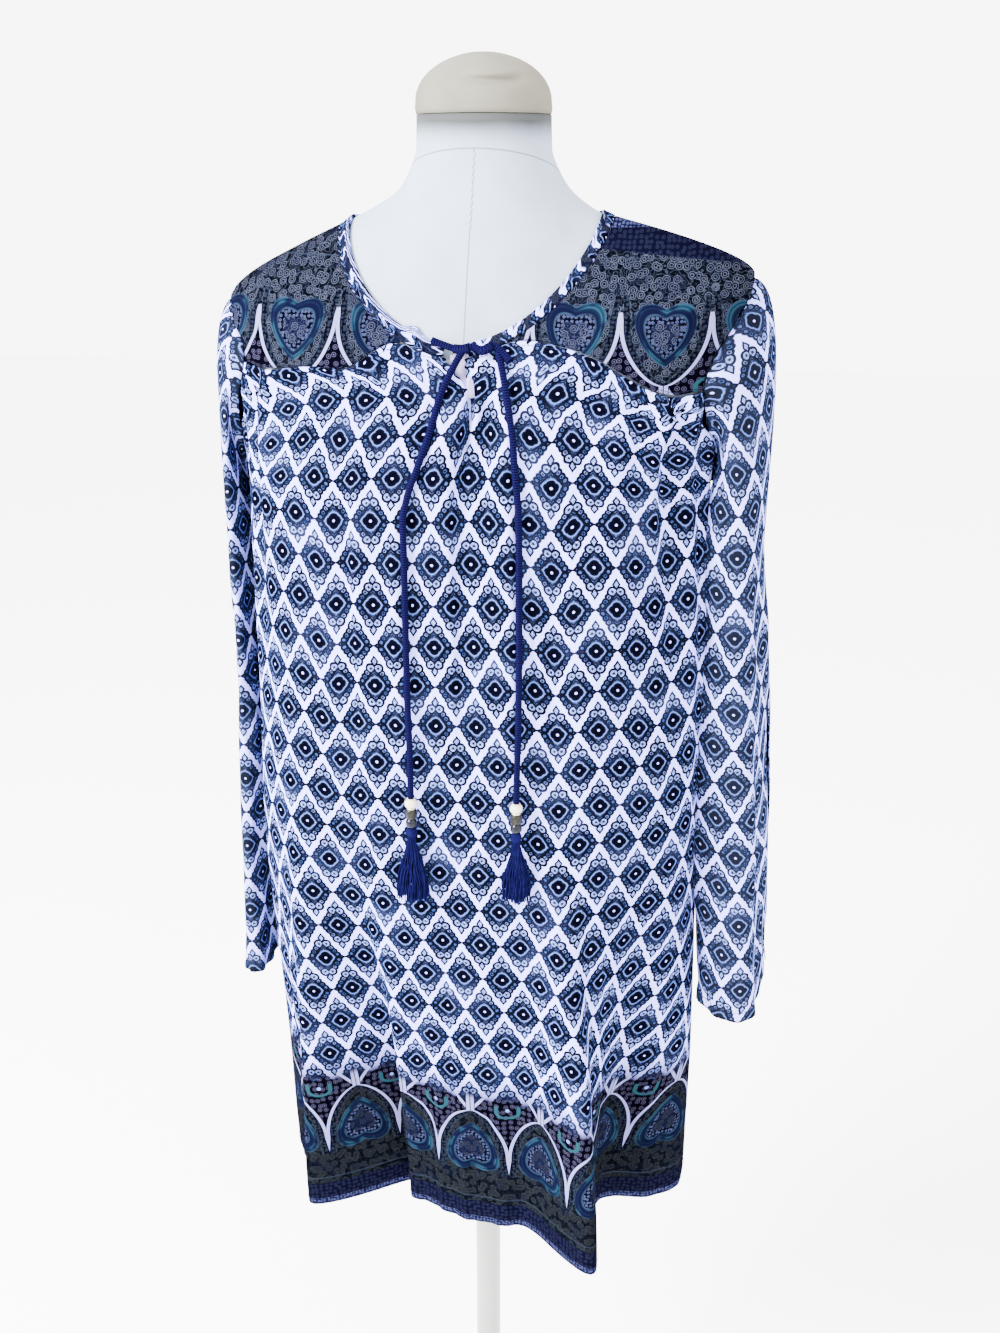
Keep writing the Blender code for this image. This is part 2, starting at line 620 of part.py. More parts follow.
def add_tassel(name, top, half_width, length, material, collection, cutters):
    """A tassel: a round head with the strands' roots fused into it."""
    head_mesh = turned_mesh(name, round_profile(HEAD_RADIUS, HEAD_HEIGHT, 0.0012), BEAD_SIDES)
    head = add_object(name, head_mesh, material, collection)
    head.location = top - Vector((0.0, 0.0, 0.5 * HEAD_HEIGHT))
    strands = add_object(name + "_strands", strands_mesh(half_width, length), material, cutters)
    strands.location = top - Vector((0.0, 0.0, HEAD_HEIGHT))
    strands.hide_render = True
    strands.display_type = "WIRE"
    join = head.modifiers.new("strands", "BOOLEAN")
    join.operation = "UNION"
    join.object = strands
    return head


def add_tail(side, finish, collection, cutters):
    """One free end of the tie, with its three beads and its tassel."""
    points = smooth_route(route_points(TAIL_ROUTES[side]), 30)
    add_cord(f"tie_tail_{side}", points, finish["cord"], collection)
    end = points[-1]
    z = end.z - REST_GAP
    stack = (
        ("white_bead", round_profile(WHITE_BEAD, 2 * WHITE_BEAD - 0.0012, 0.0034, 6), "white bead"),
        ("metal_bead", round_profile(METAL_BEAD, METAL_HEIGHT, 0.0008), "metal bead"),
        ("dark_bead", round_profile(DARK_BEAD, DARK_HEIGHT, 0.0010), "dark bead"),
    )
    for name, profile, slot in stack:
        height = profile[0][1] * 2
        bead = add_object(f"{name}_{side}", turned_mesh(name, profile, BEAD_SIDES), finish[slot], collection)
        bead.location = (end.x, end.y, z - 0.5 * height)
        z -= height + REST_GAP
    spread, length = TASSEL_SPREADS[side]
    add_tassel(f"tassel_{side}", Vector((end.x, end.y, z)), spread, length, finish["tassel"], collection, cutters)


def add_stand(finish, collection):
    """The pole with its flange under the torso, and the round base."""
    top = SHOULDER_Z + FORM_BODY_RINGS[-1].z_front - REST_GAP
    pole_profile = [(0.0, top), (FLANGE_RADIUS, top), (FLANGE_RADIUS, top - FLANGE_HEIGHT),
                    (POLE_RADIUS, top - FLANGE_HEIGHT), (POLE_RADIUS, BASE_HEIGHT + REST_GAP),
                    (0.0, BASE_HEIGHT + REST_GAP)]
    add_object("form_pole", turned_mesh("form_pole", pole_profile), finish["stand"], collection)
    rim = 0.006
    base_profile = [(0.0, BASE_HEIGHT), (0.030, BASE_HEIGHT), (BASE_RADIUS - 2.5 * rim, 2.0 * rim),
                    (BASE_RADIUS - 0.5 * rim, 1.6 * rim), (BASE_RADIUS, rim), (BASE_RADIUS, 0.0), (0.0, 0.0)]
    add_object("form_base", turned_mesh("form_base", base_profile, 32), finish["stand"], collection)


def add_form(finish, collection):
    """The torso and the domed cover on its neck."""
    add_object("form_torso", form_torso_mesh(), finish["form"], collection)
    height = COVER_TOP - COVER_LOW
    profile = [(0.0, SHOULDER_Z + COVER_TOP)]
    for k in range(1, 6):
        turn = 0.5 * math.pi * k / 5
        profile.append((COVER_RADIUS * math.sin(turn), SHOULDER_Z + COVER_LOW + 0.22 * height
                        + 0.78 * height * math.cos(turn)))
    profile.append((COVER_RADIUS, SHOULDER_Z + COVER_LOW))
    profile.append((0.0, SHOULDER_Z + COVER_LOW))
    add_object("form_neck_cover", turned_mesh("form_neck_cover", profile, 28), finish["cover"], collection)


def add_tunic(finish, collection):
    """Every piece of cloth of the tunic."""
    pieces = (
        ("front_body", front_body_mesh(), "print", CLOTH),
        ("back_body", back_body_mesh(), "print", CLOTH),
        ("front_yoke_left", front_yoke_mesh(1.0), "yoke", CLOTH),
        ("front_yoke_right", front_yoke_mesh(-1.0), "yoke", CLOTH),
        ("back_yoke", back_yoke_mesh(), "yoke", CLOTH),
        ("sleeve_left", sleeve_mesh("left"), "print", CLOTH),
        ("sleeve_right", sleeve_mesh("right"), "print", CLOTH),
        ("neck_binding", binding_mesh(), "print", BINDING),
        ("slit_facing", facing_mesh(), "facing", CLOTH),
    )
    for name, mesh, slot, wall in pieces:
        thing = add_object(name, mesh, finish[slot], collection)
        add_wall(thing, wall)


def main():
    """Build the whole part."""
    clear_scene()
    collection = bpy.data.collections.new("tunic_dress_on_form")
    cutters = bpy.data.collections.new("cutters")
    bpy.context.scene.collection.children.link(collection)
    bpy.context.scene.collection.children.link(cutters)
    finish = {
        "print": make_material("printed viscose", (0.42, 0.47, 0.68), 0.75),
        "yoke": make_material("dark printed viscose", (0.045, 0.06, 0.14), 0.75),
        "facing": make_material("reverse of the cloth", (0.80, 0.80, 0.86), 0.80),
        "cord": make_material("blue cord", (0.025, 0.03, 0.20), 0.80),
        "tassel": make_material("blue tassel thread", (0.035, 0.04, 0.26), 0.80),
        "white bead": make_material("white bead", (0.90, 0.90, 0.88), 0.30),
        "metal bead": make_material("aged silver bead", (0.36, 0.34, 0.30), 0.35, 1.0),
        "dark bead": make_material("dark glass bead", (0.008, 0.008, 0.05), 0.12),
        "form": make_material("form cloth", (0.78, 0.76, 0.72), 0.85),
        "cover": make_material("neck cover cloth", (0.74, 0.72, 0.67), 0.85),
        "stand": make_material("painted steel", (0.75, 0.75, 0.74), 0.40),
    }
    add_form(finish, collection)
    add_stand(finish, collection)
    add_tunic(finish, collection)
    knot_points = smooth_route(route_points(KNOT_ROUTE), 22)
    add_cord("tie_knot", knot_points, finish["cord"], collection)
    for side in ("right", "left"):
        add_tail(side, finish, collection, cutters)


main()
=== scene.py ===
"""Scene for a printed tunic dress on a limbless dress form, seen from a little above.

Metres, +Z up. The tunic's front faces -Y and the wearer's left is +X. The cloth is a set of thin
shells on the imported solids' form, with finer folds. Every print is worked out by shader sums from
UV maps in metres.
"""
import logging
import math
from dataclasses import dataclass
from enum import Enum
from typing import Callable, NamedTuple, Optional, Sequence

import bmesh
import bpy
import numpy as np
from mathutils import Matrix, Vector


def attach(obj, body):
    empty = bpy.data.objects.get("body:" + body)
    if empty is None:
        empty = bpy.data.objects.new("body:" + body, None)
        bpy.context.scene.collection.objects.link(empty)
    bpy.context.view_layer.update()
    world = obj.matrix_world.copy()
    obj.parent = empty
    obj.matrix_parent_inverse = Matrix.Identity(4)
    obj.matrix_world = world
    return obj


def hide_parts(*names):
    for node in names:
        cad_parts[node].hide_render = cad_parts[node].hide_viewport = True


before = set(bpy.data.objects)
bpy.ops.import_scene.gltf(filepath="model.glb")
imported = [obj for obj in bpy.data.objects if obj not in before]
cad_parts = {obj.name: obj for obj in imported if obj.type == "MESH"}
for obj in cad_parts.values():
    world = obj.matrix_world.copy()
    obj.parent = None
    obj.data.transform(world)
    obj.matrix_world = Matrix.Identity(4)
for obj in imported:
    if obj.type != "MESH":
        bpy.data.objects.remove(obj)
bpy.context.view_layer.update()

logging.basicConfig(level=logging.INFO, format="%(message)s")
log = logging.getLogger("scene")

Colour = tuple[float, float, float]
SHOULDER_Z = 1.380


class Side(Enum):
    """Wearer's side of a paired piece, with its sign along X."""

    LEFT = 1.0
    RIGHT = -1.0

    @property
    def word(self) -> str:
        """Returns: the side as it stands in node names."""
        return self.name.lower()


class Hold(Enum):
    HUNG = "hung"
    GATHERED = "gathered"
    STRETCHED = "stretched"


# The light that falls on a piece, its lightest base colour, and how far its hue is pushed from grey
LIGHT_LEVEL = 13.0
LIGHTEST = 0.92
HUE_PUSH = 1.12
# Display values and the radiance that the tone curve shows as each of them
TONES = ((0, 0.0004), (3, 0.002), (7, 0.004), (15, 0.008), (26, 0.015), (42, 0.03), (65, 0.06), (96, 0.12),
         (136, 0.25), (170, 0.5), (194, 0.92), (209, 1.5), (223, 2.5), (233, 4.0), (241, 6.0), (247, 9.0),
         (255, 18.0))


def shown_as(red: int, green: int, blue: int) -> Colour:
    """Base colour that shows as given display values under this scene's light and tone curve.

    Args:
        red, green, blue: display values from 0 to 255.

    Returns:
        The colour as linear numbers.
    """
    def linear(value: float) -> float:
        """Returns: a display value as a linear number."""
        radiance = float(np.interp(value, *zip(*TONES)))
        return min(LIGHTEST, radiance / LIGHT_LEVEL)

    grey = (red + green + blue) / 3.0
    return tuple(linear(min(255.0, max(0.0, grey + HUE_PUSH * (part - grey)))) for part in (red, green, blue))


class Value:
    """A number or vector in a node tree that can be used in sums."""

    def __init__(self, graph: "Graph", socket: bpy.types.NodeSocket) -> None:
        """Args: graph: the tree's owner. socket: the output that carries the value."""
        self.graph = graph
        self.socket = socket

    def __add__(self, other: "Term") -> "Value":
        """Returns: the sum."""
        return self.graph.math("ADD", self, other)

    def __radd__(self, other: "Term") -> "Value":
        """Returns: the sum, with this value second."""
        return self.graph.math("ADD", other, self)

    def __sub__(self, other: "Term") -> "Value":
        """Returns: the difference."""
        return self.graph.math("SUBTRACT", self, other)

    def __rsub__(self, other: "Term") -> "Value":
        """Returns: the difference, with this value second."""
        return self.graph.math("SUBTRACT", other, self)

    def __mul__(self, other: "Term") -> "Value":
        """Returns: the product."""
        return self.graph.math("MULTIPLY", self, other)

    def __rmul__(self, other: "Term") -> "Value":
        """Returns: the product, with this value second."""
        return self.graph.math("MULTIPLY", other, self)

    def __truediv__(self, other: "Term") -> "Value":
        """Returns: the quotient."""
        return self.graph.math("DIVIDE", self, other)

    def __abs__(self) -> "Value":
        """Returns: the size without its sign."""
        return self.graph.math("ABSOLUTE", self)

    def __lt__(self, other: "Term") -> "Value":
        """Returns: 1 where this value is the smaller one, else 0."""
        return self.graph.math("LESS_THAN", self, other)

    def __gt__(self, other: "Term") -> "Value":
        """Returns: 1 where this value is the larger one, else 0."""
        return self.graph.math("GREATER_THAN", self, other)


Term = Value | float | Colour


class Graph:
    """A material's or modifier's node tree, with short ways to add nodes."""

    def __init__(self, tree: bpy.types.NodeTree) -> None:
        """Args: tree: the tree that nodes are added to."""
        self.tree = tree

    def put(self, target: bpy.types.NodeSocket, term: Term) -> None:
        """Link a value to a socket, or set the socket's own number or colour.

        Args:
            target: the input socket.
            term: what it gets.
        """
        if isinstance(term, Value):
            self.tree.links.new(term.socket, target)
        elif isinstance(term, tuple) and target.type == "RGBA":
            target.default_value = (*term, 1.0)
        else:
            target.default_value = term

    def add(self, kind: str, settings: dict[str, object], inputs: dict[object, Term],
            output: object = 0) -> Value:
        """Add one node.

        Args:
            kind: node type.
            settings: the node's own attributes.
            inputs: values by input name or place.
            output: name or place of the output that is returned.

        Returns:
            The output's value.
        """
        node = self.tree.nodes.new(kind)
        for name, setting in settings.items():
            setattr(node, name, setting)
        for key, term in inputs.items():
            self.put(node.inputs[key], term)
        return Value(self, node.outputs[output])

    def math(self, operation: str, *terms: Term) -> Value:
        """Returns: one scalar operation on up to three terms."""
        return self.add("ShaderNodeMath", {"operation": operation}, dict(enumerate(terms)))

    def least(self, *terms: Term) -> Value:
        """Returns: the smallest of several values."""
        result = terms[0]
        for term in terms[1:]:
            result = self.math("MINIMUM", result, term)
        return result

    def most(self, *terms: Term) -> Value:
        """Returns: the largest of several values."""
        result = terms[0]
        for term in terms[1:]:
            result = self.math("MAXIMUM", result, term)
        return result

    def vector(self, x: Term, y: Term, z: Term = 0.0) -> Value:
        """Returns: a vector from three numbers."""
        return self.add("ShaderNodeCombineXYZ", {}, {0: x, 1: y, 2: z})

    def away(self, place: Value, x: float, y: float) -> Value:
        """Returns: the distance of a place from a fixed point of the print."""
        ends = {0: place, 1: (x, y, 0.0)}
        return self.add("ShaderNodeVectorMath", {"operation": "DISTANCE"}, ends, "Value")

    def ramp(self, value: Term, low: float, high: float) -> Value:
        """Returns: 0 to 1, smooth, as the value goes from low to high."""
        return self.add("ShaderNodeMapRange", {"interpolation_type": "SMOOTHSTEP"},
                        {0: value, 1: low, 2: high, 3: 0.0, 4: 1.0})

    def line(self, distance: Value, half_width: float, soft: float = 0.25) -> Value:
        """Returns: 1 on a line where the signed distance is near zero."""
        return 1.0 - self.ramp(abs(distance), half_width - soft, half_width + soft)

    def fill(self, distance: Value, soft: float = 0.25) -> Value:
        """Returns: 1 where a signed distance is below zero."""
        return 1.0 - self.ramp(distance, -soft, soft)

    def mix(self, factor: Term, first: Term, second: Term) -> Value:
        """Returns: a colour between two colours."""
        node = self.tree.nodes.new("ShaderNodeMix")
        node.data_type = "RGBA"
        for number, term in ((0, factor), (6, first), (7, second)):
            self.put(node.inputs[number], term)
        return Value(self, node.outputs[2])

    def noise(self, place: Value, scale: float, detail: float = 2.0) -> Value:
        """Returns: noise from 0 to 1."""
        return self.add("ShaderNodeTexNoise", {}, {"Vector": place, "Scale": scale, "Detail": detail}, "Fac")

    def cells(self, place: Value, scale: float, random: float = 0.8) -> Value:
        """Returns: distance to the nearest of scattered points."""
        return self.add("ShaderNodeTexVoronoi", {"voronoi_dimensions": "2D"},
                        {"Vector": place, "Scale": scale, "Randomness": random}, "Distance")

    def split(self, place: Value) -> tuple[Value, Value, Value]:
        """Returns: the three parts of a vector."""
        node = self.tree.nodes.new("ShaderNodeSeparateXYZ")
        self.put(node.inputs[0], place)
        return tuple(Value(self, output) for output in node.outputs)

    def wrap(self, value: Term, half: float) -> Value:
        """Returns: the value repeated between -half and half."""
        return self.math("WRAP", value, half, -half)

    def print_place(self, scale: float = 1000.0) -> tuple[Value, Value]:
        """Returns: the two places in millimetres on the cloth's own UV map."""
        u, v, _ = self.split(self.add("ShaderNodeUVMap", {"uv_map": "cloth"}, {}))
        return u * scale, v * scale


class Bump(NamedTuple):
    """A surface's fine relief: its strength, its depth in metres and its height."""

    strength: float
    depth: float
    height: Value


class MaterialGraph(Graph):
    """A new material's node tree, with its Principled shader."""

    def __init__(self, name: str) -> None:
        """Args: name: the material's name."""
        self.material = bpy.data.materials.new(name)
        self.material.use_nodes = True
        super().__init__(self.material.node_tree)

    def finish(self, bump: Bump, inputs: dict[str, Term]) -> bpy.types.Material:
        """Set the shader's inputs.

        Args:
            bump: the fine relief.
            inputs: values by the shader's input names.

        Returns:
            The material.
        """
        relief = self.add("ShaderNodeBump", {}, {"Strength": bump.strength, "Distance": bump.depth,
                                                 "Height": bump.height})
        shader = self.tree.nodes["Principled BSDF"]
        for name, term in {"Normal": relief, **inputs}.items():
            self.put(shader.inputs[name], term)
        return self.material


@dataclass(frozen=True)
class Palette:
    """Colours of the print."""

    ground: Colour = shown_as(232, 233, 247)
    petal: Colour = shown_as(212, 219, 238)
    pale: Colour = shown_as(192, 204, 230)
    light: Colour = shown_as(138, 166, 204)
    middle: Colour = shown_as(74, 98, 148)
    navy: Colour = shown_as(30, 32, 74)
    ink: Colour = shown_as(14, 14, 36)
    teal: Colour = shown_as(48, 100, 122)
    slate: Colour = shown_as(92, 104, 130)
    deep: Colour = shown_as(24, 26, 48)
    curl: Colour = shown_as(92, 126, 156)
    # White of the domes' channels, greyer than the ground as painted shade of the hem's border; the yokes use
    # the same colour
    channel: Colour = shown_as(208, 209, 226)


PALETTE = Palette()


@dataclass(frozen=True)
class MedallionPrint:
    """Rows of lace-like rhombus medallions, joined by thin twisted chains. Sizes in millimetres."""

    pitch: float = 33.3
    row: float = 33.8
    wide: float = 14.0
    tall: float = 25.0
    stroke: float = 1.0
    tremble: float = 1.5
    lobe: tuple[float, float] = (3.0, 14.6)
    petals: tuple[tuple[float, float], ...] = ((6.0, 10.2), (8.5, 6.5), (10.7, 3.0))
    tip: tuple[float, float] = (13.5, 0.0)

    def nearest(self, graph: Graph, u: Value, v: Value) -> tuple[Value, Value]:
        """Place inside the nearest medallion, folded onto one quarter of it.

        Args:
            graph: the tree.
            u, v: place on the cloth.

        Returns:
            Distances sideways and upwards from the medallion's centre.
        """
        half = 0.5 * self.pitch
        first = abs(graph.wrap(u, half)), abs(graph.wrap(v, self.row))
        second = abs(graph.wrap(u + half, half)), abs(graph.wrap(v + self.row, self.row))
        size_first = first[0] / self.wide + first[1] / self.tall
        size_second = second[0] / self.wide + second[1] / self.tall
        pick = size_first < size_second
        return (second[0] + pick * (first[0] - second[0]), second[1] + pick * (first[1] - second[1]))

    def parts(self, graph: Graph, x: Value, y: Value) -> tuple[Value, Value, Value, Value]:
        """Measure how far a place lies from the medallion's parts, negative inside them.

        Args:
            graph: the tree.
            x, y: distances from the medallion's centre.

        Returns:
            For the core, the whole outline, the dark eye and the inner rings.
        """
        place = graph.vector(x, y)
        lobe, tip = graph.away(place, *self.lobe), graph.away(place, *self.tip)
        drop = x * 1.12 + abs(y - 20.6) * 0.72 - 3.0
        upper, middle, lower = (graph.away(place, *spot) for spot in self.petals)
        core = x * 0.84 + y * 0.58 - 8.2
        shape = graph.least(core, lobe - 3.7, drop, upper - 2.4, middle - 2.4, lower - 2.3, tip - 1.4)
        eye = graph.least(graph.away(place, 2.4, 0.0) - 2.4, graph.away(place, 0.0, 2.5) - 2.5,
                          (x + y) * 0.707 - 3.3)
        rings = graph.least(lobe - 0.5, upper - 0.3, middle - 0.3, abs(core - 0.1), abs(lobe - 3.6),
                            abs(eye - 4.2))
        return core, shape, eye, rings

    def inside(self, graph: Graph, place: Value, patch: Value, x: Value, y: Value, core: Value,
               eye: Value) -> Value:
        """Colour a medallion's inside, from its petals to the rim of its eye.

        Args:
            graph: the tree.
            place: place on the cloth.
            patch: how worn the print is there.
            x, y: distances from the medallion's centre.
            core, eye: how far those parts are.

        Returns:
            The colour.
        """
        cells = graph.cells(place, 0.36, 1.0)
        marks = graph.most(1.0 - graph.ramp(cells, 0.16, 0.27), graph.line(cells - 0.48, 0.10, 0.07))
        body = graph.mix(graph.ramp(y, 6.5, 12.5), PALETTE.light, PALETTE.petal)
        inner = graph.fill(core + 1.0) * (1.0 - graph.ramp(x, 5.5, 8.5) * 0.6)
        body = graph.mix(inner * 0.55, body, PALETTE.middle)
        body = graph.mix(marks * (0.50 + 0.5 * patch), body, PALETTE.navy)
        body = graph.mix(graph.fill(eye - 3.6) * 0.30, body, PALETTE.navy)
        body = graph.mix(graph.line(eye - 2.0, 0.50) * 0.62, body, PALETTE.pale)
        return graph.mix(graph.fill(eye - 1.3), body, PALETTE.deep)

    def colour(self, graph: Graph, u: Value, v: Value) -> Value:
        """Returns: the print's colour at a place on the cloth."""
        shaky = graph.noise(graph.vector(u * 0.16, v * 0.16), 1.0)
        u = u + (shaky - 0.5) * self.tremble
        v = v + (graph.noise(graph.vector(v * 0.15, u * 0.15, 3.0), 1.0) - 0.5) * self.tremble
        x, y = self.nearest(graph, u, v)
        core, shape, eye, rings = self.parts(graph, x, y)
        spread = graph.vector(u, v)
        patch = graph.noise(spread, 0.022, 1.0)
        body = self.inside(graph, spread, patch, x, y, core, eye)
        ink = graph.most(graph.line(shape, self.stroke), graph.line(rings, 0.68) * graph.fill(shape) * 0.95)
        cross = graph.line(y - (0.5 * self.pitch - x) * 0.50, 0.75) * (x > 12.6)
        colour = graph.mix(graph.fill(shape), PALETTE.ground, body)
        colour = graph.mix(graph.most(ink, cross) * (0.92 + 0.16 * patch), colour, PALETTE.deep)
        colour = graph.mix(graph.fill(eye), colour, PALETTE.ink)
        centre = graph.away(graph.vector(x, y), 0.0, 0.0)
        return graph.mix(graph.fill(centre - 1.0), colour, PALETTE.ground)


@dataclass(frozen=True)
class BorderPrint:
    """Band of ogee domes over dense scroll filler. Heights in millimetres from the cloth's edge."""

    half: float = 33.3
    dome_low: float = 57.0
    dome_wide: float = 76.0
    dome_tip: float = 128.0
    bright: float = 0.72
    winding: float = 0.20
    scroll: Colour = shown_as(112, 118, 126)
    channel_low: float = 57.0
    stripe: float = 24.0
    slant: float = 0.0
    heart: float = 24.5

    def filler(self, graph: Graph, u: Value, v: Value, ground: Colour = shown_as(12, 14, 28)) -> Value:
        """Returns: the dense scroll ground: small rings, dots and winding lines on a dark colour."""
        place = graph.vector(u, v)
        bends = graph.wrap(graph.noise(place, 0.12, 1.0) * 8.0, 0.5)
        big = graph.cells(place, 0.145)
        small = graph.cells(place, 0.30)
        rings = graph.most(graph.line(big - 0.40, 0.030, 0.03), graph.line(big - 0.19, 0.030, 0.03))
        colour = graph.mix((1.0 - graph.ramp(small, 0.14, 0.24)) * self.bright * 0.3, ground, PALETTE.slate)
        colour = graph.mix(graph.line(bends, 0.10, 0.08) * self.bright * self.winding, colour, self.scroll)
        colour = graph.mix(rings * self.bright, colour, self.scroll)
        return graph.mix(graph.ramp(graph.noise(place, 0.05), 0.50, 0.62) * 0.22, colour, PALETTE.navy)

    def lace(self, graph: Graph, u: Value, v: Value, dark: Colour, bright: Colour, size: float) -> Value:
        """Returns: white rings and dots on a dark colour."""
        cells = graph.cells(graph.vector(u, v), size, 0.45)
        marks = graph.most(graph.line(cells - 0.30, 0.035, 0.03), 1.0 - graph.ramp(cells, 0.08, 0.13))
        return graph.mix(marks * 0.9, dark, bright)

    def dome(self, graph: Graph, u: Value, v: Value, x: Value, side: Value) -> Value:
        """Returns: the inside of a dome: a lace rim, a shaded curl and a dotted heart."""
        colour = self.filler(graph, u, v)
        rise = v - 90.0 + x * 0.62
        across, up = x / self.heart, rise / self.heart
        ring = graph.math("SQRT", across * across + up * up)
        swirl = graph.ramp(graph.noise(graph.vector(u, v), 0.045), 0.46, 0.58)
        curl = graph.mix(graph.ramp(ring, 0.72, 1.0) * swirl, PALETTE.navy, PALETTE.teal)
        colour = graph.mix(graph.fill(abs(ring - 0.84) - 0.15, 0.03), colour, curl)
        colour = graph.mix(graph.line(ring - 1.0, 0.030, 0.02) * (0.2 + 0.6 * swirl), colour, PALETTE.curl)
        colour = graph.mix(graph.line(ring - 0.88, 0.022, 0.02) * (0.1 + 0.8 * swirl), colour, PALETTE.curl)
        colour = graph.mix(graph.line(ring - 0.70, 0.024, 0.02) * (0.7 - 0.5 * swirl), colour, PALETTE.curl)
        dots = self.lace(graph, u, v, PALETTE.ink, shown_as(168, 176, 204), 0.30)
        colour = graph.mix(graph.fill(ring - 0.66, 0.03), colour, dots)
        colour = graph.mix(graph.fill(ring - 0.46, 0.03), colour, self.filler(graph, u, v, PALETTE.navy))
        scallop = graph.line(side + 5.4 + graph.math("SINE", v * 1.1) * 0.8, 0.5)
        colour = graph.mix(scallop * 0.6, colour, PALETTE.slate)
        rim = self.lace(graph, u, v, PALETTE.ink, shown_as(112, 126, 146), 0.30)
        return graph.mix(graph.fill(abs(side + 2.6) - 2.0), colour, rim)

    def colour(self, graph: Graph, u: Value, v: Value) -> Value:
        """Returns: the border's colour at a place, the height measured from the cloth's edge."""
        x = abs(graph.wrap(u, self.half))
        share = graph.most((v - self.dome_wide) / (self.dome_tip - self.dome_wide), 0.0)
        reach = 30.6 * graph.math("POWER", graph.most(1.0 - share * share, 0.0), 0.70)
        reach = reach + graph.most(self.dome_wide - v, 0.0) * 0.14
        side = x - reach
        colour = self.dome(graph, u, v, x, side)
        wedge = self.wedge(graph, u, v, self.half - x)
        colour = graph.mix(graph.fill(3.6 - side) * (v > 90.0), colour, wedge)
        white = graph.fill(abs(side - 1.8) - 1.6) * (v > self.channel_low)
        arm = x - (v - self.dome_tip) * 0.80
        neck = graph.fill(abs(arm) - 1.7) * (v > self.dome_tip)
        inside = graph.fill(arm) * (v > self.dome_tip)
        colour = graph.mix(inside, colour, self.lace(graph, u, v, PALETTE.navy, PALETTE.slate, 0.26))
        colour = graph.mix(graph.most(white, neck), colour, PALETTE.channel)
        edge = graph.line(graph.least(abs(side), abs(side - 3.7) + 0.1), 0.45) * (v > self.channel_low)
        colour = graph.mix(edge, colour, PALETTE.ink)
        return graph.mix(graph.fill(v - self.dome_low, 0.6), colour, self.lowest(graph, u, v))

    def wedge(self, graph: Graph, u: Value, v: Value, other: Value) -> Value:
        """Returns: the lace between two domes, with a bow and a pale dot. other counts from its middle."""
        colour = self.lace(graph, u, v, shown_as(12, 8, 28), shown_as(150, 148, 176), 0.17)
        low = v - 130.0
        under = graph.least(low, 0.0)
        bow = graph.math("SQRT", other * other * 0.42 + under * under)
        colour = graph.mix(graph.fill(abs(bow - 6.4) - 1.2) * (low < 6.0), colour, shown_as(76, 138, 150))
        dot = graph.away(graph.vector(other, low), 0.0, 1.5)
        return graph.mix(graph.fill(dot - 1.8), colour, PALETTE.pale)

    def lowest(self, graph: Graph, u: Value, v: Value) -> Value:
        """Returns: the filler below the domes, with its stripe and the dotted edge."""
        low_part = self.filler(graph, u, v)
        low_part = graph.mix(graph.line(v - 30.0, 0.6) * 0.6, low_part, PALETTE.slate)
        stripe = self.lace(graph, u, v, shown_as(22, 20, 54), shown_as(84, 88, 130), 0.24)
        low_part = graph.mix(graph.fill(v - self.stripe - u * self.slant, 0.8), low_part, stripe)
        dotted = self.lace(graph, u, v, shown_as(36, 38, 90), shown_as(176, 180, 208), 0.34)
        return graph.mix(graph.fill(v - 6.5, 0.5), low_part, dotted)


YOKE_PRINT = BorderPrint(bright=0.76, winding=0.40, scroll=shown_as(156, 162, 180), channel_low=70.0,
                         stripe=14.0, slant=0.11, heart=22.5)
YOKE_PRINT_RISE = 7.0


class ClothPattern(Enum):
    """Which print a piece of cloth carries."""

    BODY = "body"
    SLEEVE = "sleeve"
    YOKE = "yoke"
    BINDING = "binding"


@dataclass(frozen=True)
class ClothFinish:
    """A printed, softly crinkled viscose."""

    name: str
    slot: str
    pattern: ClothPattern
    enlarge: float = 0.975
    roughness: float = 0.82
    specular: float = 0.0

    def colour(self, graph: Graph, u: Value, v: Value) -> Value:
        """Returns: the print for this piece."""
        medallions = MedallionPrint()
        if self.pattern is ClothPattern.YOKE:
            return YOKE_PRINT.colour(graph, u, v - YOKE_PRINT_RISE)
        border = BorderPrint()
        if self.pattern is ClothPattern.BINDING:
            dense = border.filler(graph, u, v, PALETTE.navy)
            gaps = graph.ramp(graph.noise(graph.vector(u * 0.07, v * 0.02), 1.0, 1.0), 0.50, 0.56)
            return graph.mix(gaps, medallions.colour(graph, u * 1.3, v * 1.3), dense)
        if self.pattern is ClothPattern.SLEEVE:
            return graph.mix(0.05, medallions.colour(graph, u, v), shown_as(176, 184, 202))
        wave = graph.noise(graph.vector(u * 0.10, v * 0.02), 1.0, 1.0) * 9.0
        fade = graph.ramp(v + wave, 143.0, 153.0)
        dusk = 1.0 - graph.ramp(v + wave, 150.0, 176.0)
        plain = graph.mix(dusk * 0.62, medallions.colour(graph, u, v), PALETTE.navy)
        return graph.mix(fade, border.colour(graph, u, v), plain)

    def build(self) -> bpy.types.Material:
        """Returns: the finished material."""
        graph = MaterialGraph(self.name)
        u, v = graph.print_place(1000.0 / self.enlarge)
        weave = graph.math("SINE", u * 9.0) * graph.math("SINE", v * 9.0)
        crinkle = graph.noise(graph.vector(u * 0.22, v * 0.05), 1.0, 3.0)
        return graph.finish(Bump(0.30, 0.0016, weave * 0.06 + crinkle), {
            "Base Color": self.colour(graph, u, v), "Roughness": self.roughness,
            "Specular IOR Level": self.specular})


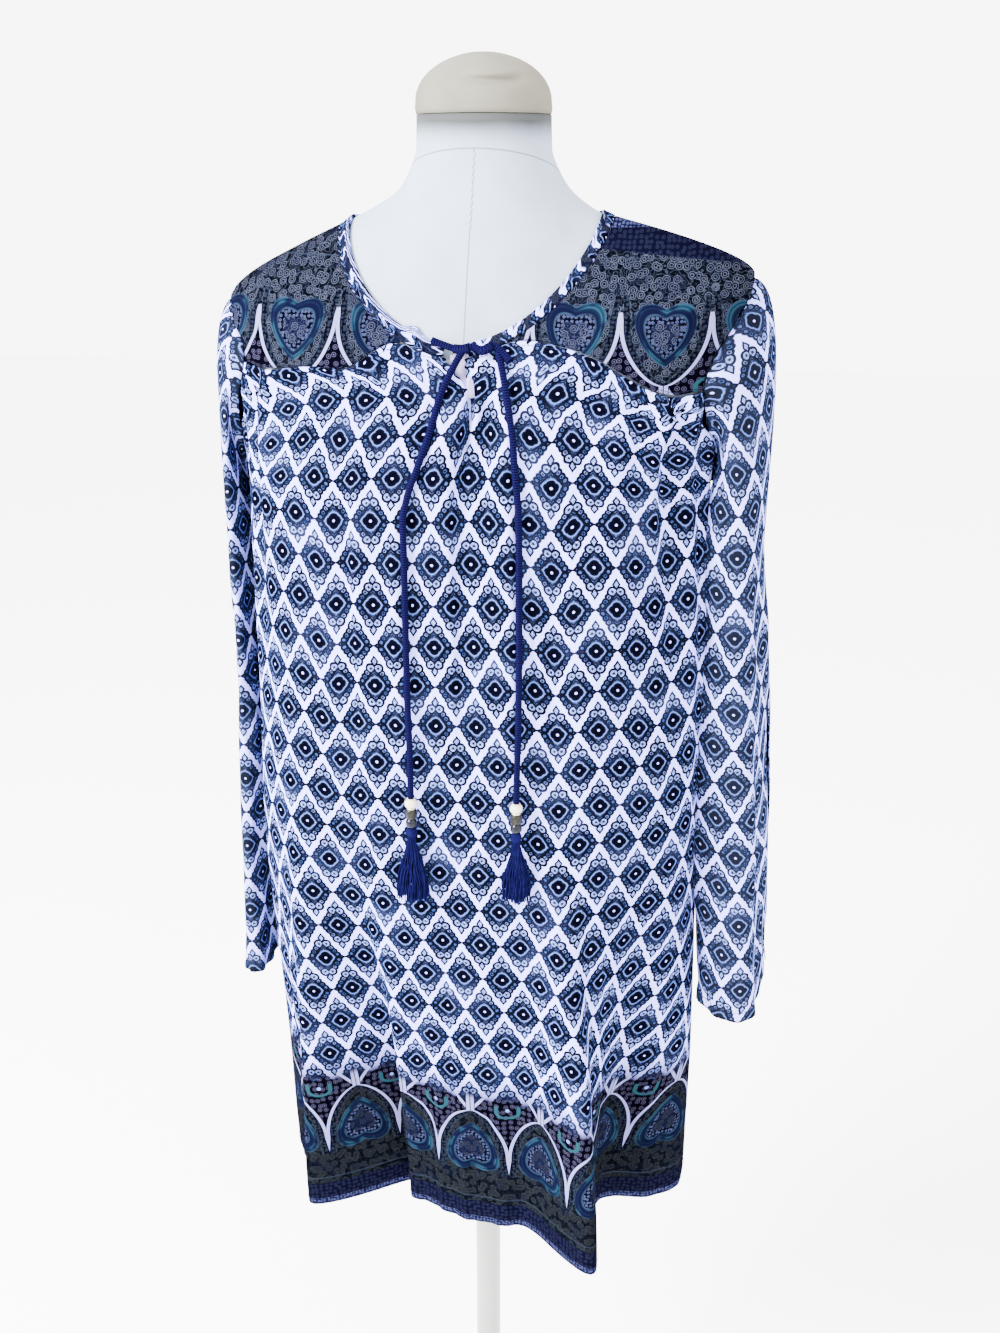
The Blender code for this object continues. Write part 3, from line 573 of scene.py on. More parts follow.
@dataclass(frozen=True)
class PlainFinish:
    """One colour with a little unevenness and a fine bump, read in object space."""

    name: str
    slot: str
    colour: Colour
    roughness: float = 0.8
    metallic: float = 0.0
    specular: float = 0.5
    coat: float = 0.0
    stain: float = 0.12
    stain_scale: float = 14.0
    grain: float = 900.0
    bump: float = 0.15
    depth: float = 0.0004

    def build(self) -> bpy.types.Material:
        """Returns: the finished material."""
        graph = MaterialGraph(self.name)
        place = graph.add("ShaderNodeTexCoord", {}, {}, "Object")
        patches = graph.noise(place, self.stain_scale)
        darker = tuple(part * (1.0 - 2.0 * self.stain) for part in self.colour)
        tint = graph.mix(graph.ramp(patches, 0.35, 0.70), self.colour, darker)
        fine = graph.noise(place, self.grain, 1.0)
        return graph.finish(Bump(self.bump, self.depth, fine), {
            "Base Color": tint, "Roughness": self.roughness, "Metallic": self.metallic,
            "Specular IOR Level": self.specular, "Coat Weight": self.coat})


@dataclass(frozen=True)
class CordFinish:
    """A braided cord: slanting yarns along its UV map, u round it and v along it in metres."""

    name: str = "braided blue cord"
    slot: str = "cord"
    yarn: Colour = shown_as(54, 48, 130)
    groove: Colour = shown_as(26, 22, 78)

    def build(self) -> bpy.types.Material:
        """Returns: the finished material."""
        graph = MaterialGraph(self.name)
        u, v = graph.print_place()
        slant = graph.math("SINE", u * 0.5 + v * 3.2)
        counter = graph.math("SINE", u * 0.5 - v * 3.2)
        braid = graph.most(slant, counter)
        colour = graph.mix(graph.ramp(braid, 0.1, 0.8), self.groove, self.yarn)
        return graph.finish(Bump(0.7, 0.0005, braid), {
            "Base Color": colour, "Roughness": 0.85, "Specular IOR Level": 0.0})


class Ring(NamedTuple):
    """A ring round the body: half sizes, sideways shift, heights from the shoulder, squareness, tilt, dip."""

    half_width: float
    front: float
    back: float
    shift: float
    z_front: float
    z_side: float
    z_back: float
    square: float
    tilt: float
    dip: float


TUNIC_RINGS = (
    Ring(0.098, 0.096, 0.052, -0.006, -0.086, 0.002, -0.018, 2.2, 0.002, 1.5),
    Ring(0.107, 0.101, 0.060, -0.006, -0.095, -0.003, -0.024, 2.2, 0.003, 1.5),
    Ring(0.205, 0.111, 0.086, 0.004, -0.120, -0.050, -0.048, 2.4, 0.008, 1.5),
    Ring(0.205, 0.117, 0.102, 0.000, -0.150, -0.105, -0.105, 2.6, -0.008, 2.0),
    Ring(0.186, 0.124, 0.115, -0.006, -0.205, -0.205, -0.205, 2.8, 0.000, 2.0),
    Ring(0.189, 0.126, 0.118, -0.004, -0.350, -0.350, -0.350, 2.9, 0.000, 2.0),
    Ring(0.192, 0.125, 0.119, -0.003, -0.520, -0.520, -0.520, 3.0, 0.000, 2.0),
    Ring(0.190, 0.123, 0.120, 0.003, -0.700, -0.700, -0.700, 3.0, 0.000, 2.0),
    Ring(0.187, 0.121, 0.120, 0.006, -0.872, -0.872, -0.872, 3.0, 0.000, 2.0),
)
# Levels, counted in rings from the neck's edge down
NECK_SEAM, SHOULDER_TIP, YOKE_SEAM, ARMPIT, HEM = 1.0, 2.0, 3.0, 4.0, 8.0
SIDE_ANGLE = math.radians(90.0)
ARMHOLE_FRONT, ARMHOLE_BACK = math.radians(24.0), math.radians(22.0)
ARMHOLE_MARGIN, ARMHOLE_GAP, SEAM = 0.040, 0.0019, 0.0005
# Thickness of the cloth in metres
BODY_WALL, SLEEVE_WALL, BINDING_WALL = 0.0011, 0.0010, 0.0019
SLIT_HALF, SLIT_LEVEL = 0.0085, 1.90
SLIT_ANGLE = math.asin(SLIT_HALF / TUNIC_RINGS[0].front)
YOKE_START, SEAM_RISE, SEAM_RUN, EDGE_LEVEL = math.radians(24.0), math.radians(18.0), math.radians(44.0), 0.03


class Fold(NamedTuple):
    """A soft ridge or trough: angle and width in degrees, depth, the levels it spans and its slant."""

    angle: float
    width: float
    depth: float
    start: float
    full: float
    end: float = 0.0
    slant: float = 0.0


MAIN_FOLDS = (
    Fold(-3.0, 5.0, 0.006, 1.5, 3.0, 5.6), Fold(6.0, 4.5, -0.009, 1.6, 3.2, 6.2),
    Fold(-54.0, 6.0, 0.005, 3.0, 3.5, 5.5), Fold(-66.0, 6.0, -0.005, 3.0, 3.6, 5.5),
    Fold(50.0, 6.0, 0.006, 3.0, 3.4, 5.5), Fold(62.0, 5.5, -0.006, 3.0, 3.6, 6.0),
    Fold(-30.0, 8.0, 0.004, 3.2, 4.5, 7.0), Fold(27.0, 8.0, -0.004, 3.2, 4.5, 7.0),
    Fold(-51.0, 5.0, 0.032, 5.0, 8.0), Fold(-41.0, 7.0, -0.048, 5.2, 8.0),
    Fold(-25.0, 12.0, -0.019, 5.8, 8.0), Fold(33.5, 6.5, 0.062, 5.4, 8.0),
    Fold(58.0, 12.0, -0.040, 5.4, 8.0), Fold(75.0, 8.0, 0.004, 5.4, 8.0),
    Fold(70.0, 9.0, 0.010, 3.2, 4.1, 6.6), Fold(118.0, 11.0, 0.012, 4.5, 8.0),
    Fold(142.0, 12.0, -0.030, 4.6, 8.0), Fold(176.0, 12.0, 0.026, 4.2, 8.0),
    Fold(212.0, 12.0, -0.034, 4.6, 8.0), Fold(238.0, 11.0, 0.012, 4.5, 8.0),
)
FINE_FOLDS = (
    Fold(1.6, 1.5, -0.0095, 1.3, 2.2, 6.0), Fold(4.6, 1.9, 0.0042, 1.5, 2.6, 5.4, 0.6),
    Fold(-6.0, 2.0, 0.0030, 1.5, 2.6, 5.4, -0.8), Fold(9.5, 1.8, -0.0030, 1.6, 2.8, 5.6, 0.8),
    Fold(-12.0, 2.4, -0.0024, 2.0, 3.0, 5.6, -1.0), Fold(15.0, 2.6, 0.0026, 2.0, 3.0, 6.4, 1.2),
    Fold(56.0, 1.5, 0.0045, 2.8, 3.2, 5.4, 0.6), Fold(60.0, 1.4, -0.0048, 2.8, 3.2, 5.8, 1.2),
    Fold(64.0, 1.5, 0.0042, 2.8, 3.2, 5.2, 1.6), Fold(52.0, 1.6, -0.0036, 2.8, 3.2, 4.9, -0.6),
    Fold(68.5, 1.6, -0.0039, 3.0, 3.4, 6.2, 1.6), Fold(47.5, 1.6, 0.0027, 2.8, 3.3, 4.8, -1.0),
    Fold(73.0, 1.8, 0.0033, 3.2, 3.8, 6.4, 0.8), Fold(41.0, 2.2, -0.0021, 2.7, 3.3, 5.0, -1.0),
    Fold(-58.0, 1.6, 0.0036, 2.8, 3.2, 5.0, -0.8), Fold(-62.0, 1.5, -0.0042, 2.8, 3.2, 5.6, -1.2),
    Fold(-66.5, 1.6, 0.0036, 2.9, 3.4, 5.4, -1.6), Fold(-53.0, 1.8, -0.0027, 2.8, 3.3, 4.8, 0.6),
    Fold(-71.0, 1.8, -0.0036, 3.2, 3.8, 6.0, -1.0), Fold(-46.0, 2.2, 0.0018, 2.7, 3.3, 5.0, 1.0),
    Fold(-20.0, 3.0, 0.0034, 3.2, 4.6, 7.4, 0.8), Fold(-36.0, 3.2, -0.0040, 3.0, 4.4, 7.6, 0.6),
    Fold(20.0, 3.0, 0.0034, 3.4, 4.8, 7.6, -0.6), Fold(33.0, 3.4, -0.0044, 3.4, 4.6, 7.0, 0.4),
    Fold(9.0, 3.0, 0.0022, 5.0, 6.4, 0.0, 1.0), Fold(-6.0, 3.0, -0.0026, 5.2, 6.8, 0.0, -1.2),
    Fold(44.0, 2.6, 0.0034, 5.0, 7.0, 0.0, 0.6), Fold(64.0, 3.0, 0.0050, 5.2, 7.4, 0.0, 0.8),
    Fold(-66.0, 3.4, -0.0050, 5.2, 7.4, 0.0, -0.8), Fold(-79.0, 3.0, 0.0030, 5.0, 7.0, 0.0, 0.0),
    Fold(108.0, 4.0, -0.0040, 4.4, 6.6, 0.0, 0.6), Fold(128.0, 3.4, 0.0040, 3.6, 5.4, 0.0, -0.6),
    Fold(155.0, 3.6, 0.0040, 3.3, 5.0, 0.0, 0.6), Fold(163.0, 2.0, -0.0030, 3.0, 3.4, 6.2, -0.6),
    Fold(171.0, 1.8, 0.0030, 3.0, 3.3, 6.0, 0.2), Fold(177.0, 1.6, -0.0034, 3.0, 3.3, 6.4, 0.0),
    Fold(183.0, 1.8, 0.0030, 3.0, 3.3, 6.0, 0.2), Fold(191.0, 2.2, -0.0028, 3.0, 3.4, 6.2, 0.8),
    Fold(201.0, 3.6, 0.0040, 3.3, 5.0, 0.0, -0.6), Fold(226.0, 3.4, -0.0040, 3.6, 5.4, 0.0, 0.6),
    Fold(250.0, 4.0, 0.0034, 4.4, 6.6, 0.0, -0.6),
)


def ease(x: np.ndarray) -> np.ndarray:
    """Returns: 0 to 1 with level ends."""
    x = np.clip(x, 0.0, 1.0)
    return x * x * (3.0 - 2.0 * x)


def between(values: Sequence[float], v: np.ndarray) -> np.ndarray:
    """A curve through evenly spaced values that never overshoots them.

    Args:
        values: the values.
        v: places along them.

    Returns:
        The values read at v.
    """
    table = np.asarray(values, float)
    last = len(table) - 1
    v = np.clip(np.asarray(v, float), 0.0, last)
    i = np.minimum(v.astype(int), last - 1)
    steps = np.diff(table)
    slopes = np.zeros(last + 1)
    slopes[0], slopes[-1] = steps[0], steps[-1]
    before, after = steps[:-1], steps[1:]
    same = before * after > 0.0
    slopes[1:-1] = np.where(same, 2.0 * before * after / np.where(same, before + after, 1.0), 0.0)
    t, rise, start, end = v - i, steps[i], slopes[i], slopes[i + 1]
    return (table[i] + t * start + t * t * (3.0 * rise - 2.0 * start - end)
            + t ** 3 * (start + end - 2.0 * rise))


def ring_points(rings: Sequence[Ring], angle: np.ndarray, v: np.ndarray,
                out: np.ndarray | float = 0.0) -> np.ndarray:
    """Points on rings.

    Args:
        rings: table of rings.
        angle: angles from centre front towards the wearer's left.
        v: places in the table.
        out: how far outwards.

    Returns:
        Points, one more axis than the angles.
    """
    angle, v = np.broadcast_arrays(angle, v)
    half, front, back, shift, z_front, z_side, z_back, square, tilt, dip = (
        between([ring[k] for ring in rings], v) for k in range(10))
    s, c = np.sin(angle), np.cos(angle)
    depth = np.where(c >= 0.0, front, back)
    middle = np.where(c >= 0.0, z_front, z_back)
    radius = ((np.abs(s) / half) ** square + (np.abs(c) / depth) ** square) ** (-1.0 / square) + out
    z = z_side + (middle - z_side) * np.abs(c) ** dip + tilt * s
    return np.stack((shift + radius * s, -radius * c, SHOULDER_Z + z), axis=-1)


def fold_depth(folds: Sequence[Fold], angle: np.ndarray, v: np.ndarray) -> np.ndarray:
    """Returns: how far the folds push the cloth outwards."""
    degrees = np.degrees(angle) % 360.0
    total = np.zeros(np.broadcast(angle, v).shape)
    for fold in folds:
        away = (degrees - fold.angle - fold.slant * (v - fold.start) + 180.0) % 360.0 - 180.0
        grow = ease((v - fold.start) / (fold.full - fold.start))
        if fold.end:
            grow = grow * (1.0 - ease((v - fold.full) / (fold.end - fold.full)))
        total = total + fold.depth * grow * np.exp(-(away / fold.width) ** 2)
    return total


class Wave(NamedTuple):
    """A slanted wave of the cloth: its rates round the body and down it, its phase and its size."""

    across: float
    along: float
    phase: float
    size: float


RIPPLES = (
    Wave(23.0, 1.9, 0.3, 0.00035), Wave(37.0, -1.3, 1.7, 0.00028), Wave(58.0, 2.6, 2.9, 0.00022),
    Wave(83.0, -3.4, 0.9, 0.00018), Wave(12.0, 4.1, 4.2, 0.00040), Wave(31.0, 7.3, 5.1, 0.00022),
)
ROSETTE_ANGLE, ROSETTE_LEVEL, ROSETTE_HEIGHT, ROSETTE_REACH, ROSETTE_PUCKERS = 57.0, 3.22, 0.0062, 12.0, 6.0
MM_PER_DEGREE, MM_PER_LEVEL = 3.1, 52.0


def ripple(angle: np.ndarray, v: np.ndarray) -> np.ndarray:
    """Returns: the cloth's slight unevenness, from a few slanted waves."""
    return sum(wave.size * np.sin(wave.across * angle + wave.along * v + wave.phase) for wave in RIPPLES)


def rosette(angle: np.ndarray, v: np.ndarray) -> np.ndarray:
    """Returns: the puckered knob where the gathers end at the wearer's left yoke."""
    across, down = (np.degrees(angle) - ROSETTE_ANGLE) * MM_PER_DEGREE, (v - ROSETTE_LEVEL) * MM_PER_LEVEL
    reach, turn = np.hypot(across, down), np.arctan2(down, across)
    puckers = 1.0 + 0.45 * np.cos(ROSETTE_PUCKERS * turn + 0.30 * reach)
    return ROSETTE_HEIGHT * np.exp(-(reach / ROSETTE_REACH) ** 2) * puckers


def tunic_points(angle: np.ndarray, v: np.ndarray) -> np.ndarray:
    """Returns: points of the body's cloth with its folds."""
    out = fold_depth(MAIN_FOLDS, angle, v) + fold_depth(FINE_FOLDS, angle, v) + rosette(angle, v)
    calm = ease((v - 1.1) / 0.5)
    return ring_points(TUNIC_RINGS, angle, v, out + calm * ripple(angle, v))


def panel_edge(v: np.ndarray, depth: float) -> np.ndarray:
    """Returns: angle of a panel's side edge, cut in by the armhole."""
    share = np.clip((v - SHOULDER_TIP) / (ARMPIT - SHOULDER_TIP), 0.0, 1.0)
    return SIDE_ANGLE - depth * np.maximum(np.sin(np.pi * share), 0.0) ** 0.8


def seam_gap(v: np.ndarray) -> np.ndarray:
    """Returns: the angle of half a seam gap."""
    return 0.5 * SEAM / between([ring.half_width for ring in TUNIC_RINGS], v)


def seam_level(angle: np.ndarray) -> np.ndarray:
    """Returns: level of the seam over the front panel."""
    start = NECK_SEAM + EDGE_LEVEL
    return start + (YOKE_SEAM - start) * ease((np.abs(angle) - SEAM_RISE) / SEAM_RUN)


def panel_level(angle: np.ndarray, v: np.ndarray) -> np.ndarray:
    """Returns: level of a front panel's point, its upper rows spread up to the seam."""
    spread = ARMPIT - (ARMPIT - v) * (ARMPIT - seam_level(angle)) / (ARMPIT - YOKE_SEAM)
    return np.where(v >= ARMPIT, v, spread)


def front_y(x: float, z: float) -> float:
    """Depth of the front cloth.

    Args:
        x: place along X.
        z: height from the shoulder.

    Returns:
        The cloth's Y there.
    """
    low, high, angle, y = 0.0, HEM, 0.0, 0.0
    for _ in range(30):
        v = 0.5 * (low + high)
        for _ in range(4):
            turn = np.array(angle)
            point = ring_points(TUNIC_RINGS, turn, np.array(v), fold_depth(MAIN_FOLDS, turn, v))
            angle += (x - float(point[0])) / max(0.05, -float(point[1]))
        y = float(point[1])
        low, high = (v, high) if point[2] - SHOULDER_Z > z else (low, v)
    return y


@dataclass
class ClothGrid:
    """A grid of cloth points with places on the print, both in metres."""

    points: np.ndarray
    places: np.ndarray

    @classmethod
    def measured(cls, points: np.ndarray, from_column: int, from_top: bool = False) -> "ClothGrid":
        """Make a grid whose print places are distances along the cloth.

        Args:
            points: rows by columns of points, rows running down.
            from_column: the column where the sideways place is zero.
            from_top: whether heights count from the top row down, rather than from the bottom row up.

        Returns:
            The grid.
        """
        across = np.linalg.norm(np.diff(points, axis=1), axis=2)
        u = np.concatenate((np.zeros((len(points), 1)), np.cumsum(across, axis=1)), axis=1)
        u = u - u[:, from_column:from_column + 1]
        down = np.linalg.norm(np.diff(points, axis=0), axis=2)
        v = np.concatenate((np.zeros((1, points.shape[1])), np.cumsum(down, axis=0)), axis=0)
        if not from_top:
            v = v[-1:] - v
        return cls(points, np.stack((u, v), axis=-1))


def link_new(name: str, data: bpy.types.ID) -> bpy.types.Object:
    """Returns: a new object of the scene that shows the data."""
    thing = bpy.data.objects.new(name, data)
    bpy.context.scene.collection.objects.link(thing)
    return thing


def build_mesh(name: str, grids: Sequence[ClothGrid], material: bpy.types.Material,
               wall: float = 0.0) -> bpy.types.Object:
    """Turn grids into one mesh object with a UV map named cloth.

    Args:
        name: the object's name.
        grids: the grids; edges that coincide are joined.
        material: the finish.
        wall: thickness of the shell, or zero for a closed skin.

    Returns:
        The object, its modifiers already applied.
    """
    vertices, faces, places, base = [], [], [], 0
    for grid in grids:
        rows, columns = grid.points.shape[:2]
        ids = base + np.arange(rows * columns).reshape(rows, columns)
        vertices.append(grid.points.reshape(-1, 3))
        places.append(grid.places.reshape(-1, 2))
        quads = np.stack((ids[:-1, :-1], ids[1:, :-1], ids[1:, 1:], ids[:-1, 1:]), axis=-1)
        faces.append(quads.reshape(-1, 4))
        base += rows * columns
    corners = np.concatenate(faces)
    mesh = bpy.data.meshes.new(name)
    mesh.from_pydata(np.concatenate(vertices).tolist(), [], corners.tolist())
    layer = mesh.uv_layers.new(name="cloth")
    layer.data.foreach_set("uv", np.concatenate(places)[corners.reshape(-1)].astype(np.float32).reshape(-1))
    mesh.materials.append(material)
    thing = link_new(name, mesh)
    tool = bmesh.new()
    tool.from_mesh(mesh)
    bmesh.ops.remove_doubles(tool, verts=tool.verts, dist=1e-6)
    tool.to_mesh(mesh)
    tool.free()
    mesh.shade_smooth()
    if wall:
        shell = thing.modifiers.new("wall", "SOLIDIFY")
        shell.thickness = wall
        shell.offset = 0.0
        apply_modifiers(thing)
    return thing


def apply_modifiers(thing: bpy.types.Object) -> None:
    """Replace an object's mesh by what its modifiers make of it, and drop them."""
    graph = bpy.context.evaluated_depsgraph_get()
    made = bpy.data.meshes.new_from_object(thing.evaluated_get(graph))
    thing.modifiers.clear()
    thing.data = made


class FrontBody:
    """The front panel, with its slit, gathers and hem folds. Its print is wider by the flare at the hem."""

    flare: float = 0.055
    columns: int = 92
    upper_rows: int = 40
    lower_rows: int = 140

    def levels(self) -> np.ndarray:
        """Returns: levels of the rows."""
        return np.concatenate((np.linspace(YOKE_SEAM, ARMPIT, self.upper_rows, endpoint=False),
                               np.linspace(ARMPIT, HEM, self.lower_rows + 1)))

    def half(self, side: Side) -> ClothGrid:
        """Returns: the half panel on one side of centre front."""
        v = self.levels()[:, None]
        share = np.linspace(0.0, 1.0, self.columns + 1)[None, :]
        if side is Side.RIGHT:
            share = -share[:, ::-1]
        angle = share * (panel_edge(v, ARMHOLE_FRONT) - seam_gap(v) * (v < ARMPIT))
        level = panel_level(angle, v)
        points = tunic_points(angle, level)
        gape = SLIT_HALF * np.clip(1.0 - (level - NECK_SEAM) / (SLIT_LEVEL - NECK_SEAM), 0.0, 1.0)
        crumple = 0.0012 * np.sin(26.0 * level + 1.2 * side.value)
        near = np.exp(-(np.degrees(angle) / 5.0) ** 2)
        points[..., 0] += near * (side.value * gape + crumple * (gape / SLIT_HALF))
        grid = ClothGrid.measured(points, 0 if side is Side.LEFT else self.columns)
        widen = 1.0 + self.flare * np.clip((v - ARMPIT) / (HEM - ARMPIT), 0.0, 1.0)
        grid.places[..., 0] /= widen
        return grid

    def make(self, material: bpy.types.Material) -> bpy.types.Object:
        """Returns: the panel as an object."""
        halves = [self.half(Side.RIGHT), self.half(Side.LEFT)]
        return build_mesh("front_body_cloth", halves, material, BODY_WALL)


class BackBody:
    """The back panel, gathered at the middle of the back yoke."""

    columns: int = 120

    def make(self, material: bpy.types.Material) -> bpy.types.Object:
        """Returns: the panel as an object."""
        v = FrontBody().levels()[:, None]
        share = np.linspace(-1.0, 1.0, self.columns + 1)[None, :]
        angle = math.pi + share * (panel_edge(v, ARMHOLE_BACK) - seam_gap(v) * (v < ARMPIT))
        grid = ClothGrid.measured(tunic_points(angle, v), self.columns // 2)
        return build_mesh("back_body_cloth", [grid], material, BODY_WALL)


def armhole_level(step: np.ndarray) -> np.ndarray:
    """Returns: level of a place down the armhole, from step 0 to step 10."""
    return SHOULDER_TIP + ARMHOLE_MARGIN + (ARMPIT - SHOULDER_TIP - 2 * ARMHOLE_MARGIN) * step / 10


@dataclass
class Yoke:
    """A dark yoke panel: one side's front one, or the whole back one.

    The shift moves its print sideways. The print's top and stretch fit the domes to a front yoke.
    """

    name: str
    side: Optional[Side]
    columns: int = 44
    rows: int = 60
    shift: float = 0.0
    print_top: float = 0.004
    print_stretch: float = 1.12

    def front_points(self) -> np.ndarray:
        """Returns: points of a front yoke, from the binding to the seam."""
        top, low = NECK_SEAM + 0.014, YOKE_SEAM - EDGE_LEVEL
        v = np.linspace(top, low, self.rows + 1)[:, None]
        edge = panel_edge(v, ARMHOLE_FRONT) - seam_gap(v)
        share = np.linspace(0.0, 1.0, self.columns + 1)[None, :]
        angle = self.side.value * (YOKE_START + (edge - YOKE_START) * share)
        level = top + (v - top) * (seam_level(angle) - EDGE_LEVEL - top) / (low - top)
        calm = ease((level - 1.1) / 0.6)
        if self.side is Side.RIGHT:
            angle, level, calm = angle[:, ::-1], level[:, ::-1], calm[:, ::-1]
        return ring_points(TUNIC_RINGS, angle, level, 1.2 * calm * ripple(angle, level))

    def back_points(self) -> np.ndarray:
        """Returns: points of the back yoke."""
        v = np.linspace(NECK_SEAM + EDGE_LEVEL, YOKE_SEAM - 0.02, self.rows + 1)[:, None]
        edge = panel_edge(v, ARMHOLE_BACK) - seam_gap(v)
        angle = math.pi + edge * np.linspace(-1.0, 1.0, 2 * self.columns + 1)[None, :]
        return ring_points(TUNIC_RINGS, angle, v, 0.8 * ripple(angle, v))

    def make(self, material: bpy.types.Material) -> bpy.types.Object:
        """Returns: the yoke as an object."""
        points = self.front_points() if self.side else self.back_points()
        if self.side:
            drop = (SHOULDER_Z + self.print_top - points[..., 2]) * self.print_stretch
        else:
            drop = ClothGrid.measured(points, self.columns, from_top=True).places[..., 1]
        grid = ClothGrid(points, np.stack((points[..., 0] + self.shift, drop), axis=-1))
        return build_mesh(self.name, [grid], material, BODY_WALL)


class Section(NamedTuple):
    """A sleeve's section below the armhole: height, centre, half sizes, climb towards the back."""

    z: float
    x: float
    y: float
    half_x: float
    half_y: float
    climb: float


SLEEVE_SECTIONS = {
    Side.LEFT: (
        Section(-0.250, 0.207, 0.004, 0.023, 0.076, 0.00),
        Section(-0.350, 0.2125, 0.006, 0.0265, 0.074, 0.04),
        Section(-0.450, 0.2185, 0.008, 0.0285, 0.071, 0.10),
        Section(-0.560, 0.226, 0.008, 0.028, 0.068, 0.22),
        Section(-0.650, 0.231, 0.006, 0.028, 0.065, 0.36),
    ),
    Side.RIGHT: (
        Section(-0.250, -0.2065, 0.022, 0.0095, 0.070, 0.00),
        Section(-0.350, -0.2080, 0.024, 0.0108, 0.068, 0.02),
        Section(-0.450, -0.2110, 0.024, 0.0125, 0.066, 0.04),
        Section(-0.570, -0.2140, 0.020, 0.0140, 0.064, 0.07),
        Section(-0.668, -0.2150, 0.014, 0.0150, 0.062, 0.10),
    ),
}
# A sleeve's folds: turn and width in degrees, depth, and the height where the fold is full
SLEEVE_FOLDS = {
    Side.LEFT: ((38.0, 22.0, -0.007, -0.40), (80.0, 24.0, 0.006, -0.50), (140.0, 26.0, 0.013, -0.215)),
    Side.RIGHT: ((30.0, 24.0, -0.004, -0.42),),
}


@dataclass
class Sleeve:
    """A long set-in sleeve with a cap that bends down from the armhole.

    A crease has its waves round the tube, its size, its waves down the tube and its phase.
    """

    side: Side
    around: int = 96
    cap_rows: int = 26
    arm_rows: int = 130
    creases: tuple[tuple[float, float, float, float], ...] = (
        (0.9, 0.0016, 0.6, 0.4), (2.3, 0.0014, -1.1, 1.9), (4.1, 0.0010, 1.7, 3.0), (7.0, 0.0006, -2.3, 0.2))

    def tube(self, phi: np.ndarray, v: np.ndarray) -> np.ndarray:
        """Returns: points of the hanging tube. phi is zero outwards and 90 degrees to the front."""
        z, x, y, half_x, half_y, climb = (between([row[k] for row in SLEEVE_SECTIONS[self.side]], v)
                                          for k in range(6))
        push = np.zeros(np.broadcast(phi, v).shape)
        for angle, width, depth, z_full in SLEEVE_FOLDS[self.side]:
            away = (np.degrees(phi) - angle + 180.0) % 360.0 - 180.0
            push = push + depth * ease((z + 0.20) / (z_full + 0.20)) * np.exp(-(away / width) ** 2)
        for across, size, along, phase in self.creases:
            push = push + size * np.sin(across * 2.0 * phi + along * 2.2 * v + phase) * ease(v / 0.8)
        cuff = ease((v - 3.72) / 0.28)
        push = push + 0.0011 * cuff * np.sin(13.0 * phi + 0.8) - 0.0012 * np.exp(-((v - 3.86) / 0.05) ** 2)
        c, s = np.cos(phi), np.sin(phi)
        across_x = (half_x + push) * np.sign(c) * np.abs(c) ** 0.86
        across_y = -(half_y + 0.4 * push) * np.sign(s) * np.abs(s) ** 0.86
        z = SHOULDER_Z + z + climb * across_y
        return np.stack((x + self.side.value * across_x, y + across_y, z), axis=-1)

    def armhole(self, step: np.ndarray) -> np.ndarray:
        """Returns: points of the armhole; step runs 0 to 10 down the front, to 20 up the back."""
        front = step <= 10.0
        v = armhole_level(np.where(front, step, 20.0 - step))
        depth = np.where(front, ARMHOLE_FRONT, ARMHOLE_BACK)
        share = np.clip((v - SHOULDER_TIP) / (ARMPIT - SHOULDER_TIP), 0.0, 1.0)
        angle = SIDE_ANGLE - depth * np.sin(np.pi * share) ** 0.8
        angle = angle + ARMHOLE_GAP / between([ring.half_width for ring in TUNIC_RINGS], v)
        angle = np.minimum(angle, SIDE_ANGLE)
        angle = np.where(front, angle, math.pi - angle)
        return ring_points(TUNIC_RINGS, self.side.value * angle, v)

    def cap(self, step: np.ndarray, phi: np.ndarray) -> np.ndarray:
        """Returns: points of the gathered cap, bent from the armhole down to the tube's first ring."""
        start, end = self.armhole(step), self.tube(phi, np.zeros_like(phi))
        start[0] = start[-1] = 0.5 * (start[0] + start[-1])
        lift, level = 0.5 * (1.0 + np.cos(phi)), np.zeros_like(phi)
        out = np.stack((np.full_like(phi, self.side.value), level, 0.2 - 0.4 * lift), axis=-1)
        out = out * (0.017 + 0.012 * lift)[:, None]
        up = np.stack((level, level, 0.4 * (start[:, 2] - end[:, 2])), axis=-1)
        t = np.linspace(0.0, 1.0, self.cap_rows, endpoint=False)[:, None, None]
        cap = (start * (1 - t) ** 3 + (start + out) * 3 * t * (1 - t) ** 2
               + (end + up) * 3 * t * t * (1 - t) + end * t ** 3)
        gather = 0.0013 * np.sin(26.0 * phi) * lift ** 2
        cap[..., 2] += gather[None, :] * np.sin(np.pi * np.minimum(t[..., 0] * 1.3, 1.0))
        return cap

    def make(self, material: bpy.types.Material) -> bpy.types.Object:
        """Returns: the sleeve as an object."""
        step = np.linspace(0.0, 20.0, self.around + 1)
        phi = math.pi * step / 10.0
        v = np.linspace(0.0, 4.0, self.arm_rows + 1)[:, None]
        points = np.concatenate((self.cap(step, phi), self.tube(phi[None, :], v)), axis=0)
        if self.side is Side.LEFT:
            points = points[:, ::-1]
        grid = ClothGrid.measured(points, self.around // 4)
        grid.places[:self.cap_rows, :, 0] = grid.places[self.cap_rows, :, 0]
        return build_mesh(f"sleeve_cloth_{self.side.word}", [grid], material, SLEEVE_WALL)


